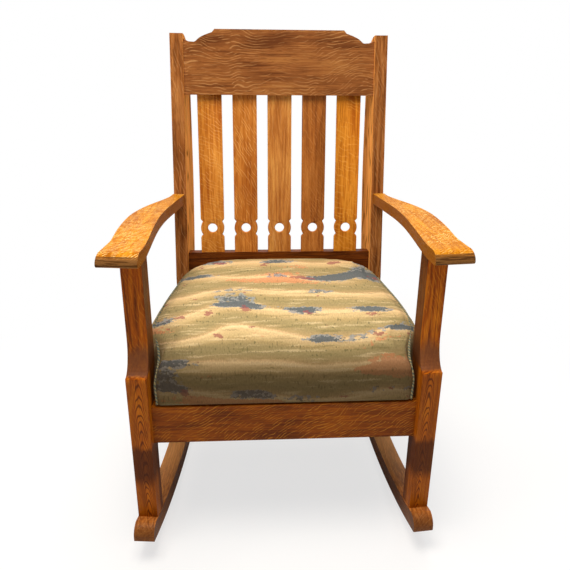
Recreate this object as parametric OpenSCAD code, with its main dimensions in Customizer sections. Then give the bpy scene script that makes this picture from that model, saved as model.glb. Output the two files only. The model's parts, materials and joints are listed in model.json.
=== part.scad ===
// Rocking chair in oak with a lift-off spring seat
// Millimetres. X runs to the sitter's left-hand arm, Y to the back, Z up from the floor.
// Each side frame (leg, runner, side rail, post, arm) lies in one upright plane, toed in to the rear.

/* [Side frames] */
// Distance between the middles of the two front legs, at their front faces
leg_spread = 546; // [520:1:580]
// Distance between the middles of the two back posts, at seat height
post_spread = 473; // [460:1:490]
// From the front face of the leg to the front edge of the post, along the side frame
frame_depth = 425; // [400:1:450]
// Height of the top of the back posts
post_top_z = 967; // [930:1:1000]
// Lean of the back posts and slope of the arms
rake = 7.4; // [5:0.1:10]

/* [Front legs] */
// Width of a leg seen from the front
leg_w = 38; // [32:1:44]
// Depth of the lower leg
leg_d = 43; // [38:1:50]
// Depth of the upper leg, above the scoop
leg_upper_d = 37.5; // [30:0.5:44]
// How far the upper leg steps back
leg_step = 30; // [20:0.5:42]
// Height of the ledge where the scoop starts
ledge_z = 404.5; // [380:0.5:420]
// Height of the scoop
scoop_h = 66; // [50:0.5:90]

/* [Back posts] */
// Width of a post seen from the front
post_w = 29; // [25:1:34]
// Depth of a post where it stands on the runner
post_foot_d = 60; // [52:1:70]
// Greatest depth of a post, near the arm
post_mid_d = 94; // [80:1:100]
// Depth of a post at its top
post_top_d = 76; // [66:1:84]
// Height at which the post starts to lean
post_bend_z = 400; // [380:1:420]
// Fall of the rounded top towards the back
post_top_fall = 52; // [30:1:60]

/* [Runners] */
// Radius of the bottom of the runner
runner_r = 1035; // [950:5:1200]
// Height of the runner
runner_h = 35; // [30:1:40]
// Width of the runner
runner_w = 40; // [38:1:46]
// How far the runner's tip lies in front of the leg
runner_front = 38; // [30:1:50]
// Length of the runner behind the front edge of the post
runner_tail = 273; // [240:1:300]
// From the front of the leg to the point that rests on the floor
runner_low = 297.5; // [270:0.5:340]
// Radius of the runner's rounded tips
tip_r = 22; // [12:1:26]

/* [Arms] */
// Height of the arm's top at its nose
arm_z = 671; // [650:1:690]
// Thickness of the arm
arm_t = 24; // [20:1:28]
// How far the arm reaches in front of the leg
arm_front = 43; // [30:1:55]
// Greatest reach of the arm outside the middle of the side frame
arm_out = 54; // [48:1:62]
// Reach of the arm inside the middle of the side frame, at its nose
arm_in = 35; // [32:1:40]
// Radius at the bottom of the arm's nose, whose top is rounded by the rest of its thickness
arm_nose_r = 6; // [2:0.5:8]
// Joint line between the arm and its post
arm_gap = 0.1; // [0.1:0.1:0.4]

/* [Back] */
// Thickness of the crest rail
crest_t = 24; // [20:1:28]
// Drop from the top of the posts to the lower edge of the crest rail
crest_drop = 133; // [115:1:150]
// Rise of the crest rail's middle above its ends
crest_rise = 20; // [10:1:25]
// Depth of the crest rail's end dips below its ends
crest_dip = 7; // [3:0.5:12]
// Height of the lower edge of the lower back rail
back_rail_z = 396; // [388:1:410]
// Height of the lower back rail
back_rail_h = 65; // [55:1:75]
// Thickness of the lower back rail
back_rail_t = 22; // [18:1:26]
// Width of a slat
slat_w = 56; // [50:0.5:62]
// Thickness of a slat
slat_t = 9; // [7:0.5:11]
// Depth that the slat ends go into the rails
slat_tenon = 12; // [8:1:16]
// Diameter of the hole in a slat
slat_hole_d = 22.5; // [16:0.5:26]
// Height of the hole above the lower back rail
slat_hole_rise = 60; // [50:1:80]
// Depth of the necks above and below a slat's disc
slat_neck_d = 5; // [2:0.5:7]
// Height of the slanted shoulder beside a neck
slat_shoulder_h = 6; // [3:0.5:9]

/* [Seat frame of the chair] */
// Height of the lower edge of the seat rails
rail_z = 249; // [235:1:260]
// Height of the seat rails
rail_h = 81; // [70:1:95]
// Thickness of the seat rails
rail_t = 22; // [18:1:25]
// Distance of the front rail's face behind the face of the legs
front_rail_back = 15.5; // [8:0.5:16]
// Distance of the back seat rail behind the front edge of the posts
back_seat_rail_back = 2; // [1:0.5:6]

/* [Joinery] */
// Diameter of the dowels
dowel_d = 9.5; // [8:0.5:11]
// Length of the dowels in the rails
dowel_l = 44; // [36:1:46]
// Diameter of the pegs in the runners
peg_d = 12; // [10:0.5:14]
// Depth that a peg goes into the runner
peg_in = 24; // [18:1:28]
// Height of the corner blocks
block_h = 36; // [28:1:44]
// Thickness of the corner blocks
block_t = 24; // [20:1:28]
// Distance from the corner of the rails to the near face of a block
block_reach = 44; // [38:1:50]
// Diameter of the corner screws
screw_d = 4.5; // [3.5:0.5:5.5]
// Length of the corner screws
screw_l = 58; // [50:1:62]
// Diameter of the screw heads
screw_head_d = 9; // [7:0.5:10]
// Height of the screw heads
screw_head_h = 3; // [2:0.5:4]

/* [Upholstered seat] */
// Gap between the seat and the legs and posts
seat_gap = 1.5; // [1:0.5:4]
// Gap under the seat where it rests on the rails
seat_rest_gap = 0.3; // [0.3:0.1:0.6]
// Height of the seat's front edge above the rails
seat_front_h = 96; // [80:1:110]
// Height of the seat's back and side edges above the rails
seat_edge_h = 126; // [110:1:130]
// Rise of the crown in the middle of the seat
seat_crown = 18; // [5:1:30]
// Reach of the cushion's sides outside the middle of the side rails
seat_side = 14; // [6:1:18]
// Thickness of the padding over the frame and the burlap
pad_t = 14; // [12:1:20]
// Width of the seat frame's bars
bar_w = 42; // [36:1:48]
// Thickness of the seat frame's bars
bar_t = 22; // [18:1:26]
// Thickness of the webbing
web_t = 1.6; // [1.2:0.1:2.4]
// Width of a webbing strip
web_w = 50; // [40:1:60]
// Thickness of the dust cover
dust_t = 0.8; // [0.6:0.1:1.2]
// Thickness of the burlap
burlap_t = 1.5; // [1.2:0.1:2.5]
// Height of the springs
spring_h = 76; // [60:1:80]
// Diameter of the springs at their ends
spring_d = 84; // [70:1:90]
// Diameter of the springs at their waist
spring_waist_d = 56; // [46:1:64]
// Diameter of the spring wire
wire_d = 3.6; // [3:0.2:4.4]
// Diameter of the welt cord
welt_d = 5; // [4:0.5:6]

/* [Hidden] */

oak = "peru";
dark_oak = "saddlebrown";
pale_oak = "tan";
// Sides of small and of very large round faces
fine = 96;
broad = 720;
// Overrun of every cut past the face that it leaves by
over = 2;
// Twice the size of anything here, for cutting bodies
far = 2 * post_top_z;

// Side frame: angle in plan, and places along it from the front face of the leg
toe_in = asin((leg_spread - post_spread) / 2 / frame_depth);
nose_s = -arm_front;
runner_start = -runner_front;
runner_end = frame_depth + runner_tail;
rail_top_z = rail_z + rail_h;
runner_inner_r = runner_r - runner_h;

// The chair's front and rear ends, so that its middle lies at Y = 0
nose_drop = arm_t - arm_nose_r;
front_y = (nose_s + arm_nose_r * cos(rake) - nose_drop * sin(rake) - arm_nose_r) * cos(toe_in)
    - arm_in * sin(toe_in);
rear_y = runner_end * cos(toe_in) + runner_w / 2 * sin(toe_in);
middle_y = (front_y + rear_y) / 2;

// Height of the runner's top at a place s along the side frame
function runner_top(s) = runner_r - sqrt(pow(runner_inner_r, 2) - pow(s - runner_low, 2));
// Middle of the side frame, as half widths of the chair, at a distance y from the front of the legs
function frame_x(y) = leg_spread / 2 - y * tan(toe_in);

// Smooth curves
function ease(t) = t * t * (3 - 2 * t);
function mix(a, b, t) = a + (b - a) * t;
function bend(a, b, c, d, t) =
    b + (c - a) * t / 2 + (2 * a - 5 * b + 4 * c - d) * t * t / 2 + (3 * b - a - 3 * c + d) * t * t * t / 2;
function curve(p, steps) = [
    for (i = [0 : len(p) - 2]) for (j = [0 : steps - 1])
        bend(p[max(i - 1, 0)], p[i], p[i + 1], p[min(i + 2, len(p) - 1)], j / steps),
    p[len(p) - 1]
];
function backwards(p) = [for (i = [len(p) - 1 : -1 : 0]) p[i]];
function arc(c, r, from, to, steps) =
    [for (i = [0 : steps]) c + r * [cos(mix(from, to, i / steps)), sin(mix(from, to, i / steps))]];

// Places what it holds in the right or left side frame, with X across it and Y along it
module side_frame(side) {
    if (side > 0) right_side_frame() children();
    else mirror([1, 0, 0]) right_side_frame() children();
}

module right_side_frame() {
    translate([leg_spread / 2, -middle_y, 0]) rotate([0, 0, toe_in]) children();
}

// A board sawn to a profile in the plane of a side frame
module sawn(profile, width) {
    rotate([90, 0, 90]) translate([0, 0, -width / 2]) linear_extrude(width) polygon(profile);
}

// The back's own plane: X across, Y up the slope from the bend, Z forward out of the post's front edge
module back_plane() {
    translate([0, frame_depth * cos(toe_in) - middle_y, post_bend_z]) rotate([90 - rake, 0, 0]) children();
}
function up_slope(z) = (z - post_bend_z) / cos(rake);

// Everything between two side frames, where their inner faces stand half a width from the middle
module between(width) {
    half = width / 2 / cos(toe_in);
    front = -far;
    back = 2 * frame_depth;
    translate([0, -middle_y, -over]) linear_extrude(far) polygon([
        [-frame_x(front) + half, front], [frame_x(front) - half, front],
        [frame_x(back) - half, back], [-frame_x(back) + half, back]
    ]);
}

// A cylinder across a side frame, for the runner's faces and the feet that stand on it
module runner_round(r, width) {
    translate([-width / 2, runner_low, runner_r]) rotate([0, 90, 0])
        cylinder(r = r, h = width, $fn = broad);
}

// A dowel from one point along X, Y or up
module dowel_x(at, d, l) {
    translate(at - [l / 2, 0, 0]) rotate([0, 90, 0]) cylinder(d = d, h = l, $fn = fine);
}

module dowel_y(at, d, l) {
    translate(at - [0, l / 2, 0]) rotate([-90, 0, 0]) cylinder(d = d, h = l, $fn = fine);
}

module dowel_z(at, d, l) { translate(at) cylinder(d = d, h = l, $fn = fine); }

// Front legs
scoop_steps = 10;
leg_back_steps = 8;
leg_back_share = 0.25;
leg_back_end = ledge_z + scoop_h * leg_back_share;
leg_profile = concat(
    [[0, 0]],
    [for (i = [0 : scoop_steps]) let (a = 90 * i / scoop_steps)
        [leg_step * sin(a), ledge_z + scoop_h * (1 - cos(a))]],
    [[leg_step, arm_z], [leg_step + leg_upper_d, arm_z]],
    [for (i = [0 : leg_back_steps]) let (t = i / leg_back_steps)
        [mix(leg_step + leg_upper_d, leg_d, ease(t)), mix(leg_back_end, rail_top_z, t)]],
    [[leg_d, 0]]
);

module front_leg(side) {
    color(oak) difference() {
        side_frame(side) difference() {
            intersection() {
                sawn(leg_profile, leg_w);
                runner_round(runner_inner_r, leg_w + over);
                below_arm();
            }
            runner_peg_shapes();
            arm_leg_dowel_shapes();
            side_rail_dowel_shapes();
        }
        front_rail_dowel_shapes();
    }
}

// Back posts
post_steps = 10;
post_length = (post_top_z - post_bend_z) / cos(rake);
post_mid_share = 0.36;
post_bend_share = 0.8;
post_axis = [sin(rake), cos(rake)];
post_across = [cos(rake), -sin(rake)];
post_bend = [frame_depth, post_bend_z];
post_bend_d = mix(post_foot_d, post_mid_d, post_bend_share);
post_profile = concat(
    [[frame_depth, 0], post_bend, post_bend + post_axis * post_length],
    [for (i = [1 : post_steps]) let (t = i / post_steps)
        post_bend + post_axis * (post_length - post_top_fall * t * t) + post_across * post_top_d * t],
    [for (i = [1 : post_steps]) let (t = i / post_steps)
        post_bend + post_axis * mix(post_length - post_top_fall, post_length * post_mid_share, t)
            + post_across * mix(post_top_d, post_mid_d, ease(t))],
    [for (i = [1 : post_steps]) let (t = i / post_steps)
        post_bend + post_axis * mix(post_length * post_mid_share, 0, t)
            + post_across * mix(post_mid_d, post_bend_d, t * t)],
    [for (i = [1 : post_steps]) let (t = i / post_steps)
        [frame_depth + mix(post_bend_d, post_foot_d, ease(t)), mix(post_bend_z, runner_h, t)]],
    [[frame_depth + post_foot_d, 0]]
);

module back_post(side) {
    color(dark_oak) difference() {
        side_frame(side) difference() {
            intersection() {
                sawn(post_profile, post_w);
                runner_round(runner_inner_r, post_w + over);
            }
            runner_peg_shapes();
            arm_post_dowel_shapes();
            side_rail_dowel_shapes();
        }
        back_seat_rail_dowel_shapes();
        back_dowel_shapes();
    }
}

// Runners
tip_steps = 8;
front_tip = [runner_start + tip_r, runner_top(runner_start + tip_r) - tip_r];
rear_tip = [runner_end - tip_r, runner_top(runner_end - tip_r) - tip_r];
runner_ends = concat(
    [[runner_start, -over]],
    arc(front_tip, tip_r, 180, 90, tip_steps),
    [[front_tip[0], far / 2], [rear_tip[0], far / 2]],
    arc(rear_tip, tip_r, 90, 0, tip_steps),
    [[runner_end, -over]]
);

module runner(side) {
    color(dark_oak) side_frame(side) difference() {
        intersection() {
            runner_round(runner_r, runner_w);
            sawn(runner_ends, runner_w);
        }
        runner_round(runner_inner_r, runner_w + over);
        runner_peg_shapes();
    }
}

// Arms: shares of the arm's length from the nose, and of its reach out and in
arm_out_shares = [
    [0, 0.63], [0.035, 0.58], [0.1, 0.59], [0.16, 0.61], [0.22, 0.69], [0.3, 0.81], [0.4, 0.92],
    [0.5, 0.99], [0.57, 1], [0.65, 0.94], [0.73, 0.81], [0.8, 0.64], [0.86, 0.48], [0.92, 0.35],
    [0.96, 0.31], [1, 0.31]
];
arm_in_shares = [
    [0, 1], [0.09, 0.97], [0.16, 0.86], [0.25, 0.69], [0.35, 0.5], [0.46, 0.31], [0.55, 0.2],
    [0.66, 0.14], [0.78, 0.18], [1, 0.3]
];
arm_curve_steps = 3;
arm_nose_steps = 6;
arm_end_s = (frame_depth + (arm_z - post_bend_z) * tan(rake) + nose_s * pow(tan(rake), 2))
    * pow(cos(rake), 2);
arm_l = (arm_end_s - nose_s) / cos(rake) - arm_gap;
arm_outline = concat(
    curve([for (p = arm_out_shares) [p[1] * arm_out, p[0] * arm_l]], arm_curve_steps),
    backwards(curve([for (p = arm_in_shares) [-p[1] * arm_in, p[0] * arm_l]], arm_curve_steps))
);
arm_top_r = arm_t - arm_nose_r;
arm_side = concat(
    [[arm_l, 0]],
    arc([arm_top_r, -arm_top_r], arm_top_r, 90, 180, arm_nose_steps),
    arc([arm_nose_r, arm_nose_r - arm_t], arm_nose_r, 180, 270, arm_nose_steps),
    [[arm_l, -arm_t]]
);

// The arm's own plane: Y down the slope from the top edge of the nose, Z out of its top face
module arm_plane() {
    translate([0, nose_s, arm_z]) rotate([-rake, 0, 0]) children();
}

module below_arm() {
    arm_plane() translate([-far / 2, -far / 2, -arm_t - far]) cube([far, far, far]);
}

module arm(side) {
    color("goldenrod") side_frame(side) difference() {
        arm_plane() intersection() {
            translate([0, 0, -arm_t]) linear_extrude(arm_t) polygon(arm_outline);
            sawn(arm_side, 2 * (arm_out + arm_in));
        }
        arm_leg_dowel_shapes();
        arm_post_dowel_shapes();
    }
}

// Crest rail, in the plane of the back
crest_back = 4;
crest_low = up_slope(post_top_z - crest_drop);
crest_end_top = up_slope(post_top_z - crest_rise / 2);
crest_half = post_spread / 2;
crest_end_shares = [[1, 0], [0.91, 0.33]];
crest_dip_shares = [[0.865, 1], [0.83, 1.1], [0.8, 1]];
crest_rise_shares = [[0.76, 0.4], [0.71, 0.7], [0.665, 0.9], [0.64, 1]];
crest_step_share = 0.615;
crest_mid_top = crest_end_top + crest_rise;
crest_dip_steps = 3;
crest_edge = concat(
    [for (p = crest_end_shares) [p[0] * crest_half, crest_end_top - p[1] * crest_dip]],
    curve(concat(
        [for (p = crest_dip_shares) [p[0] * crest_half, crest_end_top - p[1] * crest_dip]],
        [for (p = crest_rise_shares)
            [p[0] * crest_half, mix(crest_end_top - crest_dip, crest_mid_top - crest_dip, p[1])]]
    ), crest_dip_steps),
    [[crest_step_share * crest_half, crest_mid_top]]
);
crest_profile = concat(
    [[crest_half, crest_low]], crest_edge,
    [for (p = backwards(crest_edge)) [-p[0], p[1]]], [[-crest_half, crest_low]]
);

module crest_rail() {
    color(dark_oak) difference() {
        intersection() {
            back_plane() translate([0, 0, -crest_back - crest_t])
                linear_extrude(crest_t) polygon(crest_profile);
            between(post_w);
        }
        for (i = [1 : slat_count]) slat_ends(i);
        back_dowel_shapes();
    }
}

// Lower back rail
lower_back = 11;
back_rail_top = up_slope(back_rail_z + back_rail_h);

module lower_back_rail() {
    color(dark_oak) difference() {
        intersection() {
            back_plane() translate([-crest_half, back_rail_top - back_rail_h, -lower_back - back_rail_t])
                cube([2 * crest_half, back_rail_h, back_rail_t]);
            between(post_w);
        }
        for (i = [1 : slat_count]) slat_ends(i);
        back_dowel_shapes();
    }
}

// Slats: five in the space between the posts, with a little more than half a space left at each side
slat_count = 5;
slat_margin_share = 0.5;
slat_pitch = (post_spread - post_w) / (slat_count + slat_margin_share);
slat_back = 15;
slat_low = back_rail_top - slat_tenon;
slat_l = crest_low + slat_tenon - slat_low;
slat_hole_y = back_rail_top + slat_hole_rise;
slat_disc_r = slat_w / 2;
slat_neck_x = slat_disc_r - slat_neck_d;
slat_neck_turn = acos(slat_neck_x / slat_disc_r);
slat_shoulder_y = slat_disc_r * sin(slat_neck_turn) + slat_shoulder_h;
slat_disc_steps = 12;
slat_edge = concat(
    [[slat_disc_r, slat_low], [slat_disc_r, slat_hole_y - slat_shoulder_y]],
    arc([0, slat_hole_y], slat_disc_r, -slat_neck_turn, slat_neck_turn, slat_disc_steps),
    [[slat_disc_r, slat_hole_y + slat_shoulder_y], [slat_disc_r, slat_low + slat_l]]
);
slat_profile = concat(slat_edge, [for (p = backwards(slat_edge)) [-p[0], p[1]]]);
function slat_x(i) = (i - (slat_count + 1) / 2) * slat_pitch;

module slat_ends(i) {
    back_plane() translate([slat_x(i) - slat_w / 2, slat_low, -slat_back - slat_t])
        cube([slat_w, slat_l, slat_t]);
}

module back_slat(i) {
    color(oak) difference() {
        back_plane() translate([slat_x(i), 0, -slat_back - slat_t])
            linear_extrude(slat_t) polygon(slat_profile);
        back_plane() translate([slat_x(i), slat_hole_y, -slat_back - slat_t - over])
            cylinder(d = slat_hole_d, h = slat_t + 2 * over, $fn = fine);
    }
}

// Seat rails of the chair
front_rail_y = front_rail_back - middle_y;
back_seat_y = (frame_depth + back_seat_rail_back) * cos(toe_in) - middle_y;

module front_seat_rail() {
    color(oak) difference() {
        intersection() {
            translate([-leg_spread / 2, front_rail_y, rail_z]) cube([leg_spread, rail_t, rail_h]);
            between(leg_w);
        }
        front_rail_dowel_shapes();
        corner_screw_shapes();
    }
}

module back_seat_rail() {
    color(dark_oak) difference() {
        intersection() {
            translate([-leg_spread / 2, back_seat_y, rail_z]) cube([leg_spread, rail_t, rail_h]);
            between(post_w);
        }
        back_seat_rail_dowel_shapes();
        corner_screw_shapes();
    }
}

module side_seat_rail(side) {
    color(dark_oak) difference() {
        side_frame(side) difference() {
            translate([-rail_t / 2, leg_d, rail_z]) cube([rail_t, frame_depth - leg_d, rail_h]);
            side_rail_dowel_shapes();
        }
        corner_screw_shapes();
    }
}

// Corner blocks: slabs across the four inner corners of the seat rails
block_z = rail_z + (rail_h - block_h) / 2;
screw_z = block_z + block_h / 2;
front_corner = [frame_x(front_rail_back + rail_t) - rail_t / 2 / cos(toe_in), front_rail_y + rail_t];
back_corner = [frame_x(back_seat_y + middle_y) - rail_t / 2 / cos(toe_in), back_seat_y];

module inner_space() {
    translate([0, 0, block_z]) linear_extrude(block_h) polygon([
        front_corner, back_corner, [-back_corner[0], back_corner[1]], [-front_corner[0], front_corner[1]]
    ]);
}

// Places what it holds at a corner, with X pointing into the seat along the middle of the corner
module at_corner(side, back) {
    corner = back ? back_corner : front_corner;
    turn = back ? 225 : 135;
    if (side > 0) translate([corner[0], corner[1], screw_z]) rotate([0, 0, turn]) children();
    else mirror([1, 0, 0]) translate([corner[0], corner[1], screw_z]) rotate([0, 0, turn]) children();
}

module corner_blocks() {
    color(pale_oak) difference() {
        intersection() {
            inner_space();
            for (side = [-1, 1]) for (back = [false, true]) at_corner(side, back)
                translate([block_reach, -far / 4, -block_h]) cube([block_t, far / 2, 2 * block_h]);
        }
        corner_screw_shapes();
    }
}

// Two screws in each block, one into each rail, square to the block's inner face
screw_side_share = 0.72;
screw_side = block_reach * screw_side_share;

module corner_screw_shapes() {
    for (side = [-1, 1]) for (back = [false, true]) at_corner(side, back) for (sy = [-1, 1])
        translate([block_reach + block_t + screw_head_h, sy * screw_side, 0]) rotate([0, -90, 0]) {
            cylinder(d = screw_d, h = screw_l, $fn = fine);
            cylinder(d = screw_head_d, h = screw_head_h, $fn = fine);
        }
}

module corner_block_screws() { color("silver") corner_screw_shapes(); }

// Dowels of the rails: shares of the rail's height where they lie, so that crossing dowels miss each other
cross_dowel_shares = [0.16, 0.84];
side_dowel_shares = [0.36, 0.64];
front_dowel_y = front_rail_y + rail_t / 2;
back_dowel_y = back_seat_y + rail_t / 2;
side_dowel_into = leg_d / 2;

module front_rail_dowel_shapes() {
    x = frame_x(front_dowel_y + middle_y) - leg_w / 2;
    for (side = [-1, 1]) for (share = cross_dowel_shares)
        dowel_x([side * x, front_dowel_y, rail_z + share * rail_h], dowel_d, dowel_l);
}

module back_seat_rail_dowel_shapes() {
    x = frame_x(back_dowel_y + middle_y) - post_w / 2;
    for (side = [-1, 1]) for (share = cross_dowel_shares)
        dowel_x([side * x, back_dowel_y, rail_z + share * rail_h], dowel_d, dowel_l);
}

module side_rail_dowel_shapes() {
    for (s = [leg_d, frame_depth]) for (share = side_dowel_shares)
        dowel_y([0, s, rail_z + share * rail_h], dowel_d, 2 * side_dowel_into);
}

module front_rail_dowels() { color(pale_oak) front_rail_dowel_shapes(); }
module back_seat_rail_dowels() { color(pale_oak) back_seat_rail_dowel_shapes(); }
module side_rail_dowels() {
    color(pale_oak) for (side = [-1, 1]) side_frame(side) side_rail_dowel_shapes();
}

// Dowels in the ends of the crest rail and the lower back rail
back_dowel_shares = [0.25, 0.75];

module back_dowel_row(low, height, depth) {
    y = frame_depth * cos(toe_in);
    for (side = [-1, 1]) for (share = back_dowel_shares) {
        up = low + share * height;
        x = frame_x(y + up * sin(rake) + depth) - post_w / 2;
        back_plane() translate([side * x - dowel_l / 2, up, -depth]) rotate([0, 90, 0])
            cylinder(d = dowel_d, h = dowel_l, $fn = fine);
    }
}

module back_dowel_shapes() {
    back_dowel_row(crest_low, crest_end_top - crest_low - crest_dip, crest_back + crest_t / 2);
    back_dowel_row(back_rail_top - back_rail_h, back_rail_h, lower_back + back_rail_t / 2);
}

module back_dowels() { color(pale_oak) back_dowel_shapes(); }

// Pegs that stand in the runner: one under each leg, two under each post
peg_up_share = 1.5;
peg_up = peg_in * peg_up_share;
peg_shares = [0.25, 0.75];

module runner_peg_shapes() {
    for (s = concat([leg_d / 2], [for (share = peg_shares) frame_depth + share * post_foot_d]))
        dowel_z([0, s, runner_top(s) - peg_in], peg_d, peg_in + peg_up);
}

module runner_pegs() { color(pale_oak) for (side = [-1, 1]) side_frame(side) runner_peg_shapes(); }

// Dowels of the arms: upright from the leg, and along the arm into the post
arm_dowel_in_share = 0.6;
arm_dowel_in = arm_t * arm_dowel_in_share;
arm_dowel_side_share = 0.2;

module arm_leg_dowel_shapes() {
    s = leg_step + leg_upper_d / 2;
    under = arm_z - (s - nose_s) * tan(rake) - arm_t / cos(rake);
    for (side = [-1, 1]) translate([side * leg_w * arm_dowel_side_share, 0, 0])
        dowel_z([0, s, under - dowel_l / 2], dowel_d, dowel_l / 2 + arm_dowel_in);
}

module arm_post_dowel_shapes() {
    arm_plane() dowel_y([0, arm_l, -arm_t / 2], dowel_d, dowel_l);
}

module arm_dowels() {
    color(pale_oak) for (side = [-1, 1]) side_frame(side) {
        arm_leg_dowel_shapes();
        arm_post_dowel_shapes();
    }
}

// Upholstered seat: levels from the rails up
seat_z = rail_top_z + seat_rest_gap;
web_z = seat_z + dust_t;
bar_z = web_z + 2 * web_t;
bar_top = bar_z + bar_t;
spring_z = web_z + 2 * web_t;
spring_top = spring_z + spring_h;

// Seat plan: front edge at the front rail's face, back edge against the lower back rail
seat_front_y = front_rail_y;
post_y = frame_depth * cos(toe_in) - middle_y;
seat_back_y = post_y + lower_back - seat_gap;
seat_l = seat_back_y - seat_front_y;
seat_mid = [0, seat_front_y + seat_l / 2];
leg_notch_y = (leg_step + leg_upper_d) * cos(toe_in) + leg_w / 2 * sin(toe_in) + seat_gap - middle_y;
post_inside = frame_x(frame_depth + lower_back) - post_w / 2 / cos(toe_in) - seat_gap;
post_notch_y = post_y - post_w / 2 * sin(toe_in) - seat_gap;

// Half width of the cushion at a place y, free of the legs in front and of the posts behind
corner_blend = leg_w;
function seat_half(y) =
    let (
        between_legs = frame_x(y + middle_y) - leg_w / 2 / cos(toe_in) - seat_gap - welt_d,
        full = frame_x(y + middle_y) + seat_side
    )
    mix(between_legs, full, ease(max(0, min(1, (y - leg_notch_y) / corner_blend))));

// One ring of the cushion: its half outline from the front middle to the back middle, then mirrored
front_steps = 5;
side_steps = 15;
round_steps = 3;
corner_turns = [for (i = [1 : round_steps]) 90 * i / (round_steps + 1)];
seat_round = 2 * welt_d;

function seat_ring(in_front, in_side, in_back, height) =
    let (
        y0 = seat_front_y + in_front,
        y1 = post_notch_y - in_back / 2,
        y2 = seat_back_y - in_back,
        r = seat_round + in_side / 2,
        x0 = seat_half(y0) - in_side,
        x1 = seat_half(y1) - in_side,
        x2 = min(post_inside, x1 - r) - in_back / 2,
        half = concat(
            [for (i = [0 : front_steps]) [(x0 - r) * i / front_steps, y0]],
            [for (a = corner_turns) [x0 - r + r * sin(a), y0 + r - r * cos(a)]],
            [for (i = [0 : side_steps]) let (y = mix(y0 + r, y1 - r, i / side_steps))
                [seat_half(y) - in_side, y]],
            [for (a = corner_turns) [x1 - r + r * cos(a), y1 - r + r * sin(a)]],
            [[x2, y1]],
            [for (i = [0 : front_steps]) [x2 * (1 - i / front_steps), y2]]
        ),
        n = len(half)
    )
    [for (p = concat(half, [for (i = [n - 2 : -1 : 1]) [-half[i][0], half[i][1]]]))
        [p[0], p[1], seat_z + height * seat_height(p[0], p[1])]];

// Height of the seat's edge above the rails: lower in front, falling a little at the back corners
front_roll_share = 0.3;
corner_fall_share = 0.42;
corner_fall_power = 5;
function seat_height(x, y) =
    let (
        v = (y - seat_front_y) / seat_l,
        u = abs(x) / (frame_x(y + middle_y) + seat_side)
    )
    mix(seat_front_h, seat_edge_h, ease(min(1, v / front_roll_share)))
        * (1 - corner_fall_share * pow(u, corner_fall_power) * pow(ease(min(1, v)), 2));

// Levels of the cushion: share of its height, and shares of the front, side and back rolls
roll_shares = [0.55, 0.28, 0.2];
front_roll = seat_edge_h * roll_shares[0];
side_roll = seat_edge_h * roll_shares[1];
back_roll = seat_edge_h * roll_shares[2];
seat_level_shares = [
    [0, 0.02, 0.1, 0], [0.18, 0, 0.03, 0], [0.5, 0, 0, 0], [0.72, 0.06, 0.08, 0.1],
    [0.86, 0.25, 0.28, 0.35], [0.95, 0.58, 0.6, 0.65], [1, 1, 1, 1]
];
crown_shares = [[0.82, 0.35], [0.6, 0.68], [0.35, 0.92]];
seat_rings = concat(
    [for (p = seat_level_shares) seat_ring(p[1] * front_roll, p[2] * side_roll, p[3] * back_roll, p[0])],
    [for (c = crown_shares) crown_ring(c[0], c[1])]
);
function crown_ring(size, rise) = [
    for (p = seat_ring(front_roll, side_roll, back_roll, 1))
        [p[0] * size, mix(seat_mid[1], p[1], size),
         mix(seat_z + seat_edge_h, p[2], size) + seat_crown * rise]
];

// A closed skin over rings that have equal numbers of points, with a fan at each end
module skin(rings, low, high) {
    n = len(rings[0]);
    m = len(rings);
    points = concat([low], [for (ring = rings) each ring], [high]);
    last = m * n + 1;
    faces = concat(
        [for (i = [0 : n - 1]) [0, 1 + i, 1 + (i + 1) % n]],
        [for (k = [0 : m - 2]) for (i = [0 : n - 1]) each [
            [1 + k * n + i, 1 + (k + 1) * n + i, 1 + (k + 1) * n + (i + 1) % n],
            [1 + k * n + i, 1 + (k + 1) * n + (i + 1) % n, 1 + k * n + (i + 1) % n]
        ]],
        [for (i = [0 : n - 1]) [last, 1 + (m - 1) * n + (i + 1) % n, 1 + (m - 1) * n + i]]
    );
    polyhedron(points, faces);
}

module seat_cushion() {
    color("darkkhaki") difference() {
        skin(seat_rings, [0, seat_mid[1], seat_z],
            [0, seat_mid[1], seat_z + seat_edge_h + seat_crown]);
        under_padding();
    }
}

// Seat frame: a ring of four bars inside the cushion
bar_front_y = seat_front_y + pad_t;
bar_back_y = post_notch_y - pad_t;
bar_in_front = bar_front_y + bar_w;
bar_in_back = bar_back_y - bar_w;
bar_wide_y = leg_notch_y + corner_blend;
function bar_x(y) = seat_half(y) - pad_t;

// The frame's outline: between the legs in front, and over the side rails behind them
frame_plan = [
    [bar_x(bar_front_y), bar_front_y], [bar_x(bar_in_front), bar_in_front], [bar_x(bar_wide_y), bar_wide_y],
    [bar_x(bar_back_y), bar_back_y], [-bar_x(bar_back_y), bar_back_y], [-bar_x(bar_wide_y), bar_wide_y],
    [-bar_x(bar_in_front), bar_in_front], [-bar_x(bar_front_y), bar_front_y]
];

module seat_bar(outline) {
    color(pale_oak) difference() {
        translate([0, 0, bar_z]) linear_extrude(bar_t) polygon(outline);
        seat_frame_dowel_shapes();
    }
}

module seat_frame_front() {
    x0 = bar_x(bar_front_y);
    x1 = bar_x(bar_in_front);
    seat_bar([[-x0, bar_front_y], [x0, bar_front_y], [x1, bar_in_front], [-x1, bar_in_front]]);
}

module seat_frame_back() {
    x0 = bar_x(bar_in_back);
    x1 = bar_x(bar_back_y);
    seat_bar([[-x0, bar_in_back], [x0, bar_in_back], [x1, bar_back_y], [-x1, bar_back_y]]);
}

module seat_frame_side(side) {
    x0 = bar_x(bar_in_front);
    x1 = bar_x(bar_wide_y);
    x2 = bar_x(bar_in_back);
    seat_bar([
        [side * (x0 - bar_w), bar_in_front], [side * x0, bar_in_front], [side * x1, bar_wide_y],
        [side * x2, bar_in_back], [side * (x2 - bar_w), bar_in_back]
    ]);
}

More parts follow.
